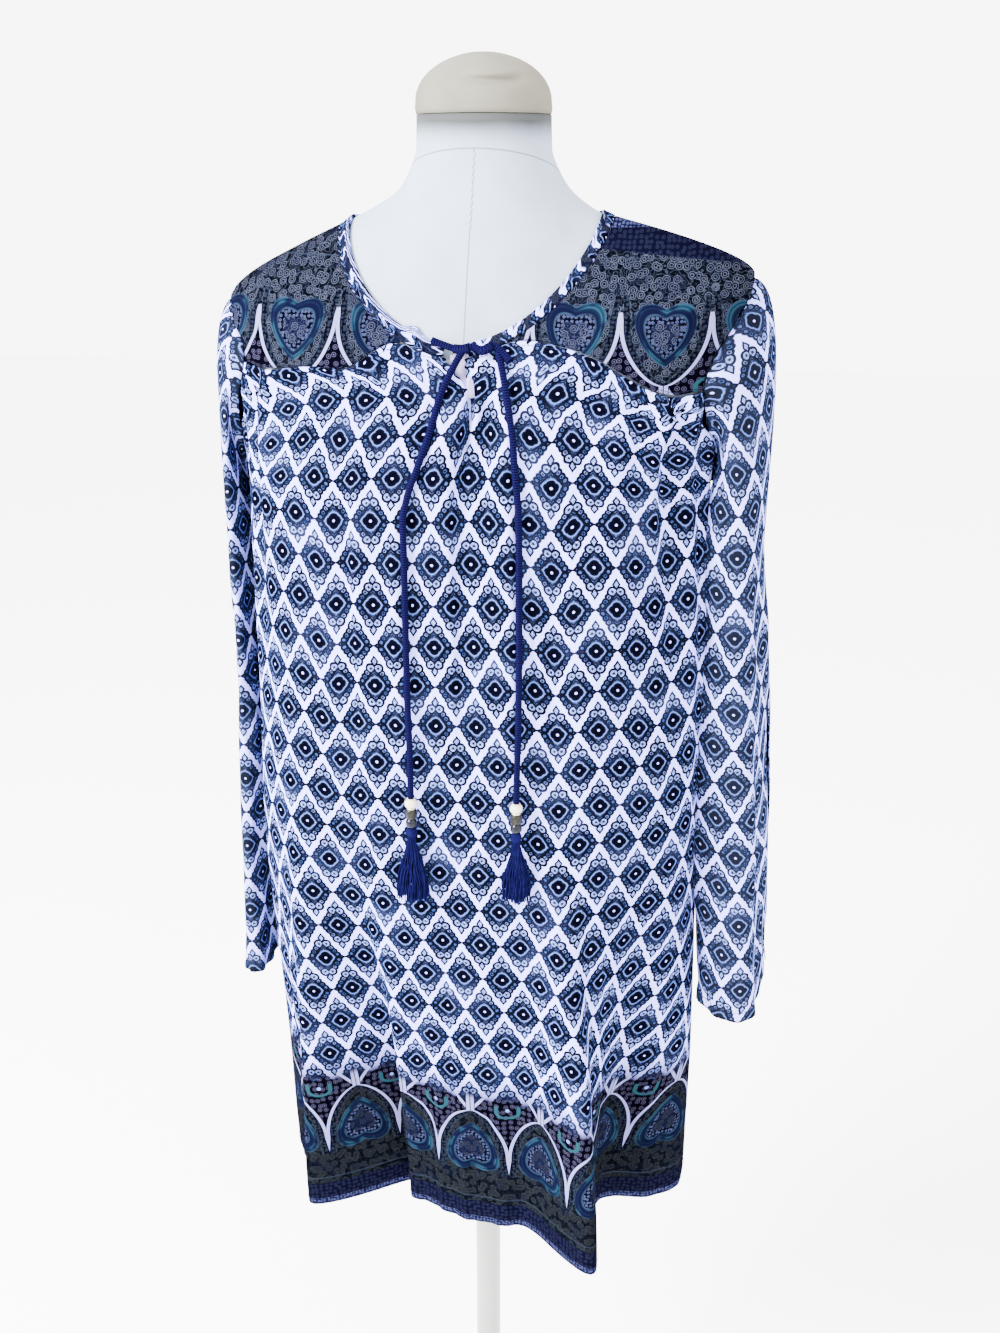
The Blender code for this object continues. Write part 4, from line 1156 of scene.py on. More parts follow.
@dataclass
class NeckBinding:
    """The folded casing round the neck, open at the slit."""

    columns: int = 260
    rows: int = 8

    def angles(self) -> np.ndarray:
        """Returns: angles from one end of the slit to the other."""
        return np.linspace(SLIT_ANGLE, 2 * math.pi - SLIT_ANGLE, self.columns + 1)

    def points(self, v: np.ndarray) -> np.ndarray:
        """Returns: points of the casing with its small puckers and the corner that stands up."""
        angle = self.angles()[None, :]
        pucker = 0.0006 * np.sin(95.0 * angle) * np.sin(np.pi * v / 0.96)
        points = ring_points(TUNIC_RINGS, angle, v, pucker)
        corner = np.exp(-((np.degrees(angle) - 341.0) / 3.2) ** 2) * (1.0 - v)
        points[..., 2] += 0.0060 * corner
        points[..., 1] += 0.0020 * corner
        return points

    def make(self, material: bpy.types.Material) -> bpy.types.Object:
        """Returns: the binding as an object."""
        v = np.linspace(0.0, 0.995, self.rows + 1)[:, None]
        grid = ClothGrid.measured(self.points(v), 0)
        return build_mesh("neck_binding_cloth", [grid], material, BINDING_WALL)


@dataclass
class SlitFacing:
    """The pale reverse of the cloth that shows in the slit."""

    half: float = 0.0105

    def make(self, material: bpy.types.Material) -> bpy.types.Object:
        """Returns: the facing as an object."""
        rows = []
        for z, back in ((-0.0940, 0.0042), (-0.0980, 0.0041), (-0.1020, 0.0040), (-0.1070, 0.0035),
                        (-0.1120, 0.0030), (-0.1175, 0.0028), (-0.1230, 0.0026)):
            x = np.linspace(-self.half, self.half, 13)
            y = np.array([front_y(float(place), z) for place in x]) + back
            y = y + 0.0003 * np.sin(1400.0 * x + 300.0 * z)
            rows.append(np.stack((x, y, np.full_like(x, SHOULDER_Z + z)), axis=-1))
        return build_mesh("slit_facing_cloth", [ClothGrid.measured(np.stack(rows), 6)], material, BODY_WALL)


FORM_NECK_RINGS = (
    Ring(0.0512, 0.0512, 0.0512, 0.000, 0.072, 0.072, 0.072, 2.0, 0.000, 1.0),
    Ring(0.0520, 0.0520, 0.0525, 0.000, 0.052, 0.047, 0.052, 2.0, 0.000, 1.0),
    Ring(0.0640, 0.0600, 0.0500, 0.000, 0.020, 0.022, 0.030, 2.0, 0.000, 1.0),
    Ring(0.0810, 0.0790, 0.0510, -0.003, -0.035, 0.009, 0.004, 2.1, 0.001, 1.3),
)
FORM_BODY_RINGS = (
    Ring(0.1840, 0.1060, 0.0910, 0.000, -0.162, -0.112, -0.118, 2.4, 0.000, 2.0),
    Ring(0.1630, 0.1130, 0.1020, -0.002, -0.210, -0.210, -0.210, 2.4, 0.000, 1.0),
    Ring(0.1280, 0.0900, 0.0850, -0.002, -0.400, -0.400, -0.400, 2.2, 0.000, 1.0),
    Ring(0.1600, 0.0980, 0.1040, 0.000, -0.590, -0.590, -0.590, 2.3, 0.000, 1.0),
    Ring(0.1540, 0.0920, 0.0980, 0.000, -0.660, -0.660, -0.660, 2.3, 0.000, 1.0),
)


@dataclass
class FormTorso:
    """The smooth limbless form: neck, shoulders and torso."""

    around: int = 168
    fine: int = 6

    def control_rows(self) -> np.ndarray:
        """Returns: the rows that the surface passes through."""
        angle = np.linspace(0.0, 2 * math.pi, self.around + 1)
        rows = [ring_points(FORM_NECK_RINGS, angle, level) for level in (0.0, 0.5, 1.0, 2.0, 3.0)]
        for level in (0.0, 0.5, 1.0, 1.5, 2.0, 2.3):
            here = ring_points(TUNIC_RINGS, angle, level)
            along = ring_points(TUNIC_RINGS, angle + 0.01, level) - here
            down = ring_points(TUNIC_RINGS, angle, level + 0.01) - here
            normal = np.cross(down, along)
            normal /= np.linalg.norm(normal, axis=1)[:, None]
            near = np.minimum(angle, 2 * math.pi - angle)
            grow = float(ease(np.array(level)))
            inset = (0.0021 + 0.0042 * grow * np.exp(-(near / math.radians(16.0)) ** 2)
                     + 0.014 * max(0.0, level - 1.65) + 0.0018 * grow * np.maximum(0.0, np.cos(angle)))
            rows.append(here - normal * inset[:, None])
        rows += [ring_points(FORM_BODY_RINGS, angle, level) for level in (0.0, 0.5, 1.0, 1.5, 2.0, 3.0, 4.0)]
        return np.stack(rows)

    def make(self, material: bpy.types.Material) -> bpy.types.Object:
        """Returns: the torso as a closed object."""
        table = self.control_rows()
        last = len(table) - 1
        v = np.linspace(0.0, last, last * self.fine + 1)
        flat = table.reshape(len(table), -1)
        points = np.stack([between(flat[:, k], v) for k in range(flat.shape[1])], axis=1)
        points = points.reshape(len(v), -1, 3)
        top, low = (np.repeat(row.mean(axis=0)[None, None, :], len(row), axis=1) for row in points[[0, -1]])
        points = np.concatenate((top, points, low), axis=0)
        return build_mesh("form_torso_cloth", [ClothGrid.measured(points, 0)], material)


def turned(name: str, profile: Sequence[tuple[float, float]], centre: Sequence[float],
           material: bpy.types.Material, steps: int = 48,
           shape: Optional[Callable[[np.ndarray, np.ndarray], np.ndarray]] = None) -> bpy.types.Object:
    """A turned solid about an upright axis.

    Args:
        name: the object's name.
        profile: radius and height, downwards along the outside.
        centre: the axis's foot.
        material: the finish.
        steps: points round it.
        shape: extra radius from turn angle and height.

    Returns:
        The object.
    """
    turn = np.linspace(0.0, 2 * math.pi, steps + 1)[None, :]
    radius = np.array([row[0] for row in profile])[:, None]
    z = np.array([row[1] for row in profile])[:, None] + 0.0 * turn
    reach = radius + (shape(turn, z) * (radius > 1e-6) if shape else 0.0)
    points = np.stack((reach * np.sin(turn), -reach * np.cos(turn), z), axis=-1) + np.array(centre)
    return build_mesh(name, [ClothGrid.measured(points, 0)], material)


@dataclass
class NeckCover:
    """The domed cloth cap on the form's neck."""

    low: float = 0.0723
    top: float = 0.116
    radius: float = 0.0515

    def make(self, material: bpy.types.Material) -> bpy.types.Object:
        """Returns: the cap as an object."""
        height = self.top - self.low
        profile = [(0.0, self.top)]
        for turn in np.linspace(0.0, 0.5 * math.pi, 56)[1:]:
            profile.append((self.radius * math.sin(turn), self.low + height * (0.22 + 0.78 * math.cos(turn))))
        profile += [(self.radius + 0.0004, self.low + 0.004), (self.radius - 0.0003, self.low + 0.0003),
                    (self.radius - 0.004, self.low), (0.0, self.low)]

        def dents(turn: np.ndarray, z: np.ndarray) -> np.ndarray:
            """Returns: the crease over the front and the cap's slight unevenness."""
            away = (turn - 0.30 + math.pi) % (2 * math.pi) - math.pi
            level = z - 0.0940 - 0.005 * away ** 2
            crease = 0.0026 * np.exp(-((level - 0.005) / 0.004) ** 2) - 0.0036 * np.exp(-(level / 0.003) ** 2)
            slack = crease * np.exp(-(away / 0.46) ** 4)
            return slack + 0.0004 * np.sin(7.0 * turn + 60.0 * z)

        return turned("form_neck_cover_cloth", profile, (0.0, 0.0, SHOULDER_Z), material, 96, dents)


class Stop(NamedTuple):
    """A place of the tie: x, height from the shoulder, distance in front of the cloth."""

    x: float
    z: float
    off: float


KNOT_ROUTE = (
    Stop(-0.0230, -0.0830, 0.0064), Stop(-0.0110, -0.0870, 0.0064), Stop(0.0000, -0.0895, 0.0070),
    Stop(0.0080, -0.0865, 0.0086), Stop(0.0160, -0.0895, 0.0090), Stop(0.0230, -0.0860, 0.0086),
    Stop(0.0300, -0.0900, 0.0070), Stop(0.0360, -0.0960, 0.0064),
)
TAIL_ROUTES = {
    Side.RIGHT: (
        Stop(0.0000, -0.0902, 0.0070), Stop(-0.0065, -0.1022, 0.0058), Stop(-0.0145, -0.1205, 0.0044),
        Stop(-0.0214, -0.1449, 0.0036), Stop(-0.0313, -0.1733, 0.0034), Stop(-0.0391, -0.1956, 0.0034),
        Stop(-0.0424, -0.2150, 0.0036), Stop(-0.0420, -0.2466, 0.0040), Stop(-0.0417, -0.3020, 0.0052),
        Stop(-0.0414, -0.3512, 0.0062), Stop(-0.0402, -0.4050, 0.0080), Stop(-0.0400, -0.4382, 0.0095),
    ),
    Side.LEFT: (
        Stop(0.0270, -0.0900, 0.0070), Stop(0.0318, -0.1078, 0.0056), Stop(0.0354, -0.1262, 0.0048),
        Stop(0.0398, -0.1543, 0.0036), Stop(0.0414, -0.1733, 0.0034), Stop(0.0444, -0.2061, 0.0034),
        Stop(0.0452, -0.2400, 0.0038), Stop(0.0455, -0.2701, 0.0046), Stop(0.0460, -0.3200, 0.0054),
        Stop(0.0460, -0.3600, 0.0064), Stop(0.0454, -0.4050, 0.0080), Stop(0.0450, -0.4376, 0.0095),
    ),
}
CORD_RADIUS, CORD_SIDES = 0.0026, 16


class Bead(NamedTuple):
    """A bead of a tail: names of its piece and its node, radius, height, bulge and depth of its ribs."""

    name: str
    node: str
    radius: float
    height: float
    bulge: float
    ribs: float = 0.0


BEADS = (
    Bead("white_bead_round", "white_bead", 0.0052, 0.0092, 0.0034),
    Bead("silver_bead_barrel", "metal_bead", 0.0050, 0.0084, 0.0010, 0.00028),
    Bead("dark_bead_barrel", "dark_bead", 0.0046, 0.0074, 0.0012),
)
BEAD_GAP, THROUGH_BEADS = 0.0003, 0.0258
UP = np.array((0.0, 0.0, 1.0))


def route_points(route: Sequence[Stop], count: int) -> np.ndarray:
    """Returns: evenly shared points on a smooth line through the route's places."""
    spots = [(stop.x, front_y(stop.x, stop.z) - stop.off, SHOULDER_Z + stop.z) for stop in route]
    v = np.linspace(0.0, len(route) - 1, count)
    return np.stack([between([spot[k] for spot in spots], v) for k in range(3)], axis=1)


def tube(name: str, path: np.ndarray, radius: float, material: bpy.types.Material) -> bpy.types.Object:
    """A round tube along a path, closed by a flat end at both sides.

    Args:
        name: the object's name.
        path: the centreline.
        radius: its radius.
        material: the finish.

    Returns:
        The object.
    """
    tangents = np.gradient(path, axis=0)
    tangents /= np.linalg.norm(tangents, axis=1)[:, None]
    along = np.concatenate(([0.0], np.cumsum(np.linalg.norm(np.diff(path, axis=0), axis=1))))
    normal = np.cross(tangents[0], (0.0, 1.0, 0.0))
    turn = np.linspace(0.0, 2 * math.pi, CORD_SIDES + 1)
    rings = []
    for spot, ahead in zip(path, tangents):
        normal = normal - ahead * np.dot(normal, ahead)
        normal /= np.linalg.norm(normal)
        other = np.cross(ahead, normal)
        rings.append(spot + radius * (np.cos(turn)[:, None] * normal + np.sin(turn)[:, None] * other))
    rows = ([path[0] + (rings[0] - path[0]) * share for share in (0.0, 0.6)] + rings
            + [path[-1] + (rings[-1] - path[-1]) * share for share in (0.6, 0.0)])
    along = np.concatenate(([0.0, 0.0], along, along[[-1, -1]]))
    places = np.stack(np.broadcast_arrays(turn[None, :] * radius, along[:, None]), axis=-1)
    return build_mesh(name, [ClothGrid(np.stack(rows)[:, ::-1], places[:, ::-1])], material)


class NodeRun:
    """Geometry Nodes along a curve: a thread, or a row of stitches, turned into a mesh."""

    def __init__(self, name: str, stitches: bool) -> None:
        """Args: name: the tree's name. stitches: a row of short pieces rather than one thread."""
        self.tree = bpy.data.node_groups.new(name, "GeometryNodeTree")
        self.sockets: dict[str, str] = {}
        face = self.tree.interface
        face.new_socket("Geometry", in_out="INPUT", socket_type="NodeSocketGeometry")
        for word, kind in (("Radius", "NodeSocketFloat"), ("Spacing", "NodeSocketFloat"),
                           ("Length", "NodeSocketFloat"), ("Material", "NodeSocketMaterial")):
            self.sockets[word] = face.new_socket(word, in_out="INPUT", socket_type=kind).identifier
        face.new_socket("Geometry", in_out="OUTPUT", socket_type="NodeSocketGeometry")
        graph = Graph(self.tree)
        entry = self.tree.nodes.new("NodeGroupInput")
        given = {socket.name: Value(graph, socket) for socket in entry.outputs if socket.name}
        if stitches:
            made = self.stitch_row(graph, given)
        else:
            ring = graph.add("GeometryNodeCurvePrimitiveCircle", {"mode": "RADIUS"},
                             {"Resolution": 5, "Radius": given["Radius"]})
            made = graph.add("GeometryNodeCurveToMesh", {},
                             {"Curve": given["Geometry"], "Profile Curve": ring, "Fill Caps": True})
        made = graph.add("GeometryNodeRealizeInstances", {}, {0: made})
        made = graph.add("GeometryNodeSetMaterial", {}, {"Geometry": made, "Material": given["Material"]})
        exit_node = self.tree.nodes.new("NodeGroupOutput")
        graph.put(exit_node.inputs[0], made)

    def stitch_row(self, graph: Graph, given: dict[str, Value]) -> Value:
        """Returns: short round stitches evenly along the curve, turned to follow it."""
        spots = graph.add("GeometryNodeResampleCurve", {"mode": "LENGTH"},
                          {"Curve": given["Geometry"], "Length": given["Spacing"]})
        piece = graph.add("GeometryNodeMeshCylinder", {},
                          {"Vertices": 6, "Radius": given["Radius"], "Depth": given["Length"]})
        ahead = graph.add("GeometryNodeInputTangent", {}, {})
        turn = graph.add("FunctionNodeAlignRotationToVector", {"axis": "Z"}, {"Vector": ahead})
        return graph.add("GeometryNodeInstanceOnPoints", {},
                         {"Points": spots, "Instance": piece, "Rotation": turn})

    def make(self, name: str, paths: Sequence[np.ndarray], material: bpy.types.Material, radius: float,
             spacing: float = 0.003, length: float = 0.002) -> bpy.types.Object:
        """Run the nodes on some paths.

        Args:
            name: the new object's name.
            paths: the lines that the pieces follow.
            material: the finish.
            radius: of the thread.
            spacing, length: of the stitches.

        Returns:
            The made object.
        """
        curve = bpy.data.curves.new(name, "CURVE")
        curve.dimensions = "3D"
        for path in paths:
            spline = curve.splines.new("POLY")
            spline.points.add(len(path) - 1)
            spots = np.concatenate((path, np.ones((len(path), 1))), axis=1)
            spline.points.foreach_set("co", spots.reshape(-1))
        source = link_new(name + " path", curve)
        modifier = source.modifiers.new("run", "NODES")
        modifier.node_group = self.tree
        settings = {"Radius": radius, "Spacing": spacing, "Length": length, "Material": material}
        for word, setting in settings.items():
            modifier[self.sockets[word]] = setting
        made = bpy.data.meshes.new_from_object(source.evaluated_get(bpy.context.evaluated_depsgraph_get()))
        bpy.data.objects.remove(source, do_unlink=True)
        return link_new(name, made)


@dataclass
class Tassel:
    """A wrapped head with wavy strands that widen downwards."""

    side: Side
    half_width: float
    length: float
    depth: float = 0.0066
    strands: int = 150
    strand_radius: float = 0.00042
    seed: int = 5

    def paths(self, foot: np.ndarray) -> list[np.ndarray]:
        """Returns: the strands' lines, from the head's foot down."""
        dice = np.random.default_rng(self.seed + int(self.side.value))
        t = np.linspace(0.0, 1.0, 13)
        lines = []
        for _ in range(self.strands):
            turn, reach = dice.uniform(0.0, 2 * math.pi), math.sqrt(dice.uniform(0.0, 1.0))
            open_up = ease(t * 1.25) * 0.9 + 0.1 * t
            wide = 0.0030 + (self.half_width - 0.0030) * open_up
            deep = 0.0026 + (self.depth - 0.0026) * open_up
            phase, rate, size = dice.uniform(0.0, 6.3), dice.uniform(7.0, 15.0), dice.uniform(0.0003, 0.0011)
            free = size * np.minimum(1.0, 4.0 * t)
            length = self.length * dice.uniform(0.90, 1.0)
            x = reach * wide * math.cos(turn) + free * np.sin(rate * t + phase)
            y = reach * deep * math.sin(turn) + 0.5 * free * np.cos(rate * t + phase)
            lines.append(np.stack((foot[0] + x, foot[1] + y, foot[2] + 0.001 - length * t), axis=1))
        return lines

    def make(self, top: np.ndarray, material: bpy.types.Material, threads: NodeRun) -> list[bpy.types.Object]:
        """Returns: the head and the strands."""
        radius, height = 0.0045, 0.0088
        profile = [(0.0, 0.0)] + [(radius * math.sin(k) ** 0.6, -0.5 * height * (1.0 - math.cos(k)))
                                  for k in np.linspace(0.12, math.pi - 0.35, 18)] + [(0.0, -height)]
        head = turned(f"tassel_head_{self.side.word}", profile, top, material, 40,
                      lambda turn, z: 0.00016 * np.sin(30.0 * turn + 900.0 * z))
        foot = top - height * UP
        name = f"tassel_strands_{self.side.word}"
        return [head, threads.make(name, self.paths(foot), material, self.strand_radius)]


@dataclass
class Tie:
    """The tie: a knot at the slit and two tails, each with three beads and a tassel."""

    finishes: dict[str, bpy.types.Material]
    threads: NodeRun

    def make_bead(self, bead: Bead, word: str, top: np.ndarray) -> bpy.types.Object:
        """Returns: one bead under the place top."""
        hole = CORD_RADIUS + 0.00015
        profile = [(hole, -0.0002), (hole + 0.0006, 0.0)]
        for share in np.linspace(0.0, 1.0, 19):
            side = 2.0 * share - 1.0
            reach = bead.radius - bead.bulge * abs(side) ** 2.6
            profile.append((reach, -bead.height * (0.02 + 0.96 * share)))
        profile += [(hole + 0.0006, -bead.height), (hole, -bead.height + 0.0002), (hole, -0.0002)]
        return turned(f"{bead.name}_{word}", profile, top, self.finishes[bead.node], 48,
                      lambda turn, z: -bead.ribs * (0.5 + 0.5 * np.sin(14.0 * turn + 500.0 * z)))

    def make_tail(self, side: Side) -> list[bpy.types.Object]:
        """Returns: the tail's pieces, riding on the root."""
        word = side.word
        hanging = route_points(TAIL_ROUTES[side], 140)
        path = np.concatenate((hanging, hanging[-1] - np.linspace(0.0, THROUGH_BEADS, 14)[1:, None] * UP))
        tail = tube(f"tie_tail_cord_{word}", path, CORD_RADIUS, self.finishes["cord"])
        carry([tail], f"tie_tail_{word}", "cord")
        spot, beads = hanging[-1] - BEAD_GAP * UP, []
        for bead in BEADS:
            beads.append(self.make_bead(bead, word, spot))
            carry(beads[-1:], f"{bead.node}_{word}", bead.node)
            spot = spot - (bead.height + BEAD_GAP) * UP
        spread = {Side.RIGHT: (0.0136, 0.0590), Side.LEFT: (0.0120, 0.0550)}[side]
        tassel = Tassel(side, *spread).make(spot, self.finishes["tassel"], self.threads)
        carry(tassel, f"tassel_{word}", "tassel")
        length = float(np.linalg.norm(np.diff(path, axis=0), axis=1).sum())
        log.info("tie tail %s: %.4f m long", word, length)
        return [tail, *beads, *tassel]

    def make_knot(self) -> list[bpy.types.Object]:
        """Returns: the knot: the cord across the slit and the two small humps on it."""
        path = route_points(KNOT_ROUTE, 70)
        across = tube("tie_knot_cord", path, CORD_RADIUS, self.finishes["cord"])
        turns = []
        for number, (first, last) in enumerate(((14, 27), (36, 49)), 1):
            bend = path[first:last].copy()
            bend[:, 2] += 0.0010 * np.sin(np.linspace(0.0, math.pi, len(bend)))
            bend[:, 1] -= 0.0008
            turns.append(tube(f"tie_knot_turn_{number}", bend, 1.32 * CORD_RADIUS, self.finishes["cord"]))
        carry([across, *turns], "tie_knot", "cord")
        return [across, *turns]


def carry(things: Sequence[bpy.types.Object], node: str, slot: str) -> None:
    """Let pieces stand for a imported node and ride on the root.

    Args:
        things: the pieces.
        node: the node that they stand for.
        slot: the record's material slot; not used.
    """
    for thing in things:
        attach(thing, "root")
        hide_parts(node)
    log.info("%s: %s", node, ", ".join(thing.name for thing in things))


class Cut(NamedTuple):
    """The flat cut of a piece of cloth: its width and length, how it is held, and its share of that box."""

    width: float
    length: float
    hold: Hold
    share: float


CUTS = {
    "front_body": Cut(0.56, 0.78, Hold.GATHERED, 0.96),
    "back_body": Cut(0.56, 0.77, Hold.GATHERED, 0.96),
    "front_yoke_left": Cut(0.190, 0.145, Hold.HUNG, 0.72),
    "front_yoke_right": Cut(0.190, 0.145, Hold.HUNG, 0.72),
    "back_yoke": Cut(0.420, 0.150, Hold.HUNG, 0.80),
    "sleeve_left": Cut(0.360, 0.660, Hold.HUNG, 0.77),
    "sleeve_right": Cut(0.330, 0.640, Hold.HUNG, 0.76),
    "neck_binding": Cut(0.565, 0.0135, Hold.GATHERED, 0.95),
    "slit_facing": Cut(0.022, 0.032, Hold.STRETCHED, 1.0),
}


def declare_sheet(thing: bpy.types.Object, node: str, trims: Sequence[bpy.types.Object]) -> None:
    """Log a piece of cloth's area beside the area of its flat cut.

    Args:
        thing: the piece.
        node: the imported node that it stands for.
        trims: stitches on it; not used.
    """
    cut = CUTS[node]
    area = sum(polygon.area for polygon in thing.data.polygons) / 2.0
    log.info("%s: cloth area %.4f m2, cut %.4f m2", node, area, cut.width * cut.length * cut.share)
    list(trims)


@dataclass(frozen=True)
class FormFinish:
    """The form's pale cloth with its centre seam and the seam round the neck, in object space, and a painted
    shadow on the neck under the neck cover.
    """

    name: str = "form cloth"
    slot: str = "form_cloth"
    cloth: Colour = shown_as(226, 229, 234)
    seam: Colour = shown_as(180, 180, 182)
    # Colour of the painted shadow on the neck under the neck cover
    shade: Colour = shown_as(158, 162, 162)
    arch_height: float = 1.4125
    arch_fall: float = 0.30

    def build(self) -> bpy.types.Material:
        """Returns: the finished material."""
        graph = MaterialGraph(self.name)
        place = graph.add("ShaderNodeTexCoord", {}, {}, "Object")
        x, y, z = graph.split(place)
        arch = self.arch_height - y * self.arch_fall
        centre = graph.line(x * 1000.0 - 1.0 + (z - 1.43) * -12.0, 0.42, 0.3) * (y < 0.0) * (z < arch)
        around = graph.line((z - arch) * 1000.0, 0.5, 0.35)
        # Painted shadow: a thin dark line on the neck just under the neck cover's edge
        cover_edge_shadow = (1.0 - graph.ramp(z, 1.4495, 1.4515)) * (z > 1.4475)
        soft = graph.noise(place, 26.0)
        colour = graph.mix(graph.ramp(soft, 0.35, 0.75) * 0.35, self.cloth, shown_as(215, 218, 223))
        # Painted shadow: the neck darkens upwards towards the neck cover
        shade = graph.ramp(z, 1.4290, 1.4500)
        colour = graph.mix(shade * (0.88 + 0.3 * soft), colour, self.shade)
        colour = graph.mix(graph.most(centre, around, cover_edge_shadow * 0.3) * 0.75, colour, self.seam)
        thread = graph.noise(place, 1500.0, 1.0)
        height = thread * 0.15 - graph.most(centre, around)
        return graph.finish(Bump(0.35, 0.0007, height), {
            "Base Color": colour, "Roughness": 0.9, "Specular IOR Level": 0.05})


FINISHES: dict[str, ClothFinish | PlainFinish | CordFinish | FormFinish] = {
    "body": ClothFinish("printed viscose body", "print", ClothPattern.BODY),
    "sleeve": ClothFinish("printed viscose sleeve", "print", ClothPattern.SLEEVE),
    "yoke": ClothFinish("printed viscose yoke", "dark_print", ClothPattern.YOKE),
    "binding": ClothFinish("printed viscose binding", "print", ClothPattern.BINDING),
    "facing": PlainFinish("reverse of the cloth", "facing", shown_as(226, 224, 234), specular=0.05),
    "cord": CordFinish(),
    "tassel": PlainFinish("blue tassel thread", "tassel", shown_as(52, 50, 136), 0.75, specular=0.0,
                          stain=0.2, stain_scale=160.0),
    "white_bead": PlainFinish("white bead", "white_bead", shown_as(240, 238, 232), 0.22, coat=0.6,
                              stain=0.04),
    "metal_bead": PlainFinish("aged silver bead", "metal_bead", shown_as(128, 126, 118), 0.34, 0.9,
                              stain=0.3, stain_scale=500.0),
    "dark_bead": PlainFinish("dark bead", "dark_bead", shown_as(16, 18, 54), 0.16, specular=0.12,
                             coat=0.05, stain=0.1),
    "form": FormFinish(),
    "cover": PlainFinish("neck cover cloth", "form_cover", shown_as(206, 204, 198), 0.9, specular=0.05,
                         stain=0.06, stain_scale=30.0, bump=0.25),
    "stand": PlainFinish("painted steel", "stand", shown_as(222, 222, 221), 0.38, coat=0.2, stain=0.03),
    "thread": PlainFinish("white sewing thread", "facing", shown_as(236, 236, 240), 0.8, specular=0.05),
    "blue_thread": PlainFinish("blue sewing thread", "dark_print", shown_as(44, 48, 104), 0.8, specular=0.05),
}


def outwards(path: np.ndarray, by: float) -> np.ndarray:
    """Returns: a path moved off the cloth, away from the body's middle line."""
    away = path * np.array((1.0, 1.0, 0.0))
    away /= np.linalg.norm(away, axis=1)[:, None]
    return path + away * by


@dataclass
class Trim:
    """The rows of stitches on the tunic and on the form."""

    stitches: NodeRun
    finishes: dict[str, bpy.types.Material]
    hem_rise: float = 0.007

    def row(self, name: str, paths: Sequence[np.ndarray], finish: str, node: str, slot: str,
            spacing: float = 0.0034, length: float = 0.0023, radius: float = 0.00024) -> bpy.types.Object:
        """Returns: one set of stitches, riding on the root."""
        thing = self.stitches.make(name, paths, self.finishes[finish], radius, spacing, length)
        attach(thing, "root")
        log.info("%s: on %s", thing.name, node)
        return thing

    def hem(self, front: bool) -> bpy.types.Object:
        """Returns: the hem's stitches on the front or the back panel."""
        middle = 0.0 if front else math.pi
        angle = middle + np.linspace(-1.0, 1.0, 261) * (SIDE_ANGLE - 0.01)
        level = HEM - self.hem_rise / (TUNIC_RINGS[-2].z_front - TUNIC_RINGS[-1].z_front)
        path = outwards(tunic_points(angle, np.full_like(angle, level)), 0.0010)
        word = "front" if front else "back"
        return self.row(f"hem_stitches_{word}", [path], "blue_thread", f"{word}_body", "print")

    def yoke(self, side: Side) -> bpy.types.Object:
        """Returns: the stitches over a front yoke's seam."""
        angle = side.value * np.linspace(YOKE_START + 0.02, SIDE_ANGLE - ARMHOLE_FRONT - 0.02, 90)
        level = seam_level(angle) - EDGE_LEVEL - 0.03
        path = outwards(ring_points(TUNIC_RINGS, angle, level), 0.0011)
        word = side.word
        return self.row(f"yoke_stitches_{word}", [path], "blue_thread", f"front_yoke_{word}", "dark_print")

    def casing(self) -> bpy.types.Object:
        """Returns: the casing's stitches under the binding, on both sides of the slit."""
        paths = []
        for side in Side:
            angle = side.value * np.linspace(math.radians(9.0), math.radians(33.0), 40)
            paths.append(outwards(tunic_points(angle, seam_level(angle) + 0.10), 0.0012))
        return self.row("casing_stitches", paths, "blue_thread", "front_body", "print")

    def cuff(self, sleeve: Sleeve) -> bpy.types.Object:
        """Returns: the stitches round a cuff."""
        phi = np.linspace(0.0, 2 * math.pi, 160)
        path = sleeve.tube(phi, np.full_like(phi, 3.90))
        centre = path.mean(axis=0)
        away = (path - centre) / np.linalg.norm(path - centre, axis=1)[:, None]
        path = path + away * 0.0009
        word = sleeve.side.word
        return self.row(f"cuff_stitches_{word}", [path], "blue_thread", f"sleeve_{word}", "print")

    def binding(self) -> bpy.types.Object:
        """Returns: the stitches along the binding's lower edge."""
        path = outwards(NeckBinding().points(np.full((1, 1), 0.84))[0], 0.0013)
        return self.row("binding_stitches", [path], "blue_thread", "neck_binding", "print")

    def form(self) -> bpy.types.Object:
        """Returns: the few open stitches at the top of the form's centre seam."""
        z = np.linspace(1.4240, 1.375, 12)
        x = 0.001 + (z - 1.43) * 0.012
        front = FormTorso().control_rows()[::-1, 0, :]
        y = np.interp(z, front[:, 2], front[:, 1]) - 0.0004
        path = np.stack((x, y, z), axis=1)
        return self.row("form_seam_stitches", [path], "thread", "form_torso", "form_cloth", 0.0052, 0.0030,
                        0.00030)


class Lamp(NamedTuple):
    """A soft square light: its name, place, power in watts and side."""

    name: str
    spot: Colour
    power: float
    size: float


LAMPS = (Lamp("key light", (-2.0, -1.7, 2.6), 860.0, 1.1), Lamp("fill light", (1.9, -1.8, 1.9), 40.0, 1.6))


